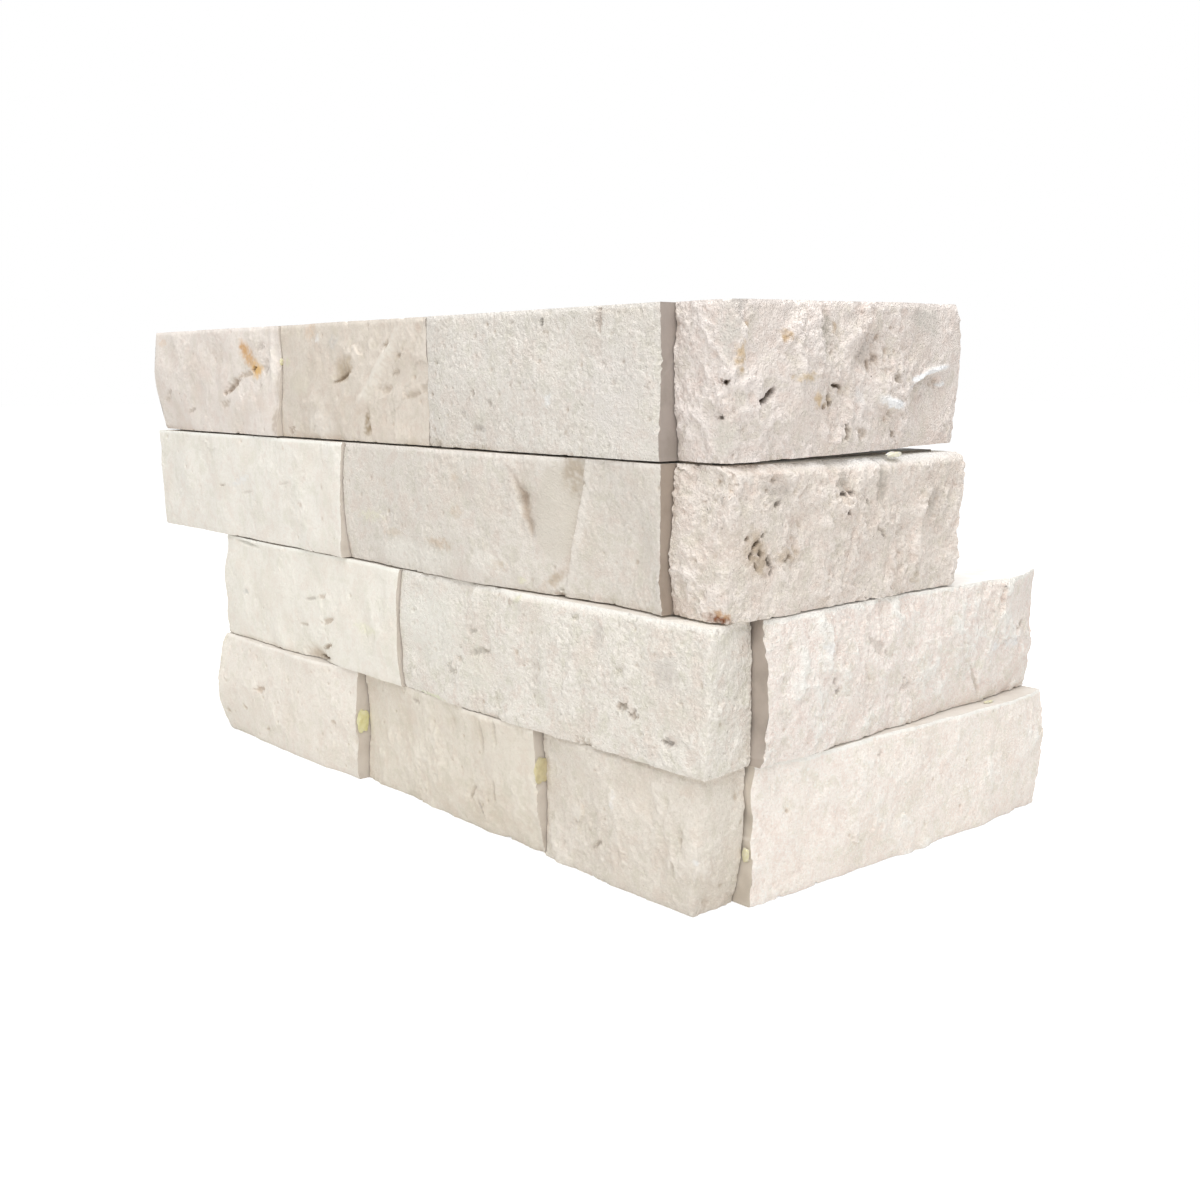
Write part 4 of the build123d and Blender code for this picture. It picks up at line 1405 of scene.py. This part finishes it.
    right = Strip(
        "course_4_long_stone_3", Leg.LONG,
        Cleft(
            43, broad=0.8, facet=0.25, crest=0.06, nibble=0.08, grit=0.13, pitted=0.22, calm=0.0,
            specks=0.28,
        ),
        SplitLimestone("ECE6DD", patchiness=0.6, dapple=0.7, mottle=1.0, grain=1.2), marks(
            (PIT, -44.8, 146.7, 0.7, 0.7, 2.0, 0, plain("2E2420"), 1.0),
            (PIT, -75.3, 128.5, 1, 0.8, 1.0, 0, plain("A89480")),
            (PIT, -67.3, 125.5, 1, 0.8, 1.0, 0, plain("A89480")),
            (PIT, -73.3, 118.8, 2.6, 0.8, 0.8, 0, plain("A89480")), (PIT, -94.3, 137, 1, 0.8, 0.9),
            (PIT, -79.8, 122.5, 1, 0.8, 0.9), (PIT, -22.3, 146.5, 0.8, 2, 1.0, 0, plain("8A7058")),
            (STAIN_OR_PAINTED_LIGHT, -41.8, 127, 1.5, 2.5, 0, -30, plain("F4F0EA")), (CHIP, -94.3, 113.5, 2.5, 2.2, 1.5),
            (STAIN_OR_PAINTED_LIGHT, -17, 128, 12, 14, 0, 0, plain("DCCFC2"), 0.4),
        ),
        # the sawn end is partly its own darker colour and partly painted shade of the recess it faces
        end=SawnLimestone("AEA39B", "A0968D"),
    )
    short = Strip(
        "course_4_short_stone", Leg.SHORT,
        Cleft(
            44, broad=1.3, facet=0.9, crest=0.42, nibble=0.34, grit=0.18, pitted=0.22, calm=0.3, drawn=1.15,
            lean=25,
        ),
        SplitLimestone("F1E7DF", patchiness=1.0, dapple=0.9, mottle=1.0, grain=1.5), marks(
            (FACET, -14, 143, 4, 7), (STAIN_OR_PAINTED_LIGHT, -14, 143, 4, 7, 0, 0, "E0DDD3", 0.6),
            (FACET, -14, 119, 4.5, 5), (STAIN_OR_PAINTED_LIGHT, -14, 119, 4.5, 5, 0, 0, "E0DCCF", 0.6),
            (STEP, -8.5, 141, 6, 9, 1.4, 5, "", 0.7, 0.8), (FACET, 48, 125, 6, 2),
            (FACET, 66, 131.6, 10, 1.8, 0, 14), (RIDGE, -11, 144.5, 1.8, 4.5, 0.8, 20),
            (RIDGE, -10.4, 137, 1.8, 4.5, 0.7, -14), (STAIN_OR_PAINTED_LIGHT, -9.9, 137, 1.8, 3.6, 0, 0, "DDC4A2", 1.0),
            (STAIN_OR_PAINTED_LIGHT, 5, 141.8, 1.6, 1.6, 0, 0, "D2B692", 1.0),
            (STAIN_OR_PAINTED_LIGHT, 17.6, 126.5, 1.8, 2.2, 0, 0, "DDC4A2", 1.0),
            (STAIN_OR_PAINTED_LIGHT, 12.5, 132.2, 5, 1.2, 0, 0, "E0CBAC", 1.0),
            (STAIN_OR_PAINTED_LIGHT, -8, 144.5, 1.2, 1, 0, 0, "CDB69B", 0.9),
            (STAIN_OR_PAINTED_LIGHT, 24.6, 143.5, 1, 2, 0, 0, "CDB69B", 0.9),
            # the dark floors of the pits that follow are partly their own brown and partly painted shade
            (PIT, -14.4, 131.5, 1.4, 0.55, 2.0, 0, "63523F", 0.95),
            (PIT, -0.4, 128.2, 2.4, 0.75, 2.8, 33, "5A4A3A", 0.95),
            (PIT, -3.2, 126.9, 1.2, 0.6, 1.6, 0, "6E6660"),
            (PIT, 26.2, 129.7, 1.9, 0.5, 1.8, -10, "65543F", 0.9),
            (PIT, 22.2, 127, 0.7, 1.1, 1.8, 20, "7A6C5C", 0.9),
            (PIT, 23.4, 125.4, 0.7, 0.6, 1.6, 0, "7A6C5C", 0.9),
            (PIT, 21.2, 124.8, 0.7, 0.7, 1.2, 0, "8A7D6E", 0.9),
            (STAIN_OR_PAINTED_LIGHT, 22.5, 126, 2, 2, 0, 0, "D6C3A8", 0.7), (PIT, -15.8, 123.3, 1.1, 0.6, 1.5, 0, "7A726C"),
            (PIT, 29.8, 118.2, 0.6, 2.0, 1.4, 0, "9A8B7C", 0.8),
            (SCOOP, 36.5, 117.5, 2.6, 1.8, 1.0, 0, "C9BAAB", 0.8),
            (PIT, 39.5, 134.5, 1.4, 0.8, 1.2, 50, "B9AB9F"), (PIT, 42, 136, 1.2, 0.7, 1.0, 20, "C2B5AA"),
            (SCOOP, 50, 131, 2.2, 1.5, 1.2, 0, "BFB2A4", 0.9),
            (PIT, 51.5, 116.8, 1.2, 0.8, 0.9, 0, "C2B5A8"),
            # the greys at (20.8, 142.5), (64, 145.5) and (37, 139) are painted shade
            (SCOOP, 20.8, 142.5, 3.2, 6, 1.2, 0, "C0B9AD", 0.9), (FACET, 65, 141, 10, 7.5),
            (FACET, 66, 120, 8, 6), (STAIN_OR_PAINTED_LIGHT, 64, 145.5, 9, 4, 0, 0, "D2CCC3", 0.8),
            (STAIN_OR_PAINTED_LIGHT, 37, 139, 5, 4, 0, 0, "D3C9C1", 0.7), (SCOOP, -11, 149, 3, 3, 1.0, 0, "CFC9C2", 0.7),
            (RIDGE, 10, 138, 2.4, 13, 1.2), (RIDGE, 30.8, 124, 2.4, 11, 1.2),
            (STEP, 28, 143, 5, 7, 1.2, 180, "", 0.7, 1.0), (SCOOP, 41, 137, 9, 7, 1.6),
            (STEP, 50, 146, 6, 5, 0.9, 0, "", 0.7, 1.0), (STEP, 56, 137, 5, 8, 1.0, -20, "", 0.7, 1.0),
            # the white of these ridges and facets is painted highlight on ledges that face up
            (RIDGE, 47.5, 125.2, 1.7, 7, 1.2, 76, "FFFEFC", 1.0),
            (FACET, 49, 124.7, 4.2, 1.2, 0, -8, "FFFFFF", 1.0),
            (RIDGE, 61.5, 130.6, 1.3, 6.5, 1.2, -64, "FCFBFA", 1.0),
            (RIDGE, 70.5, 133, 1.3, 8, 1.2, -85, "FFFEFC", 1.0),
            (FACET, 67, 132.1, 9.5, 0.8, 0, 11, "FFFFFF", 1.0),
            (RIDGE, 74.5, 128.9, 1.0, 2.5, 0.6, -80, "FBFAF8", 0.9),
            (STAIN_OR_PAINTED_LIGHT, 34.5, 127, 2.5, 2.5, 0, 0, "F6F2EE", 0.6), (STEP, 66, 131.5, 9, 11, 1.5, -76),
            (STEP, 48, 123.6, 6, 7, 1.2, -102),
        ),
        turns_corner=True, free_end=True, climb=1.8,
    )
    return Course(4, (left, middle, right, short))


def main() -> None:
    """Builds the corner course by course, then the studio."""
    logging.basicConfig(level=logging.INFO, format="%(name)s %(message)s")
    for course in (first_course(), second_course(), third_course(), fourth_course()):
        course.build()
    ResinJoints().dress()
    for bead in beads():
        bead.build()
    Studio().build()
    view = bpy.context.scene.view_settings
    view.view_transform = "Standard"


if __name__ == "__main__":
    main()
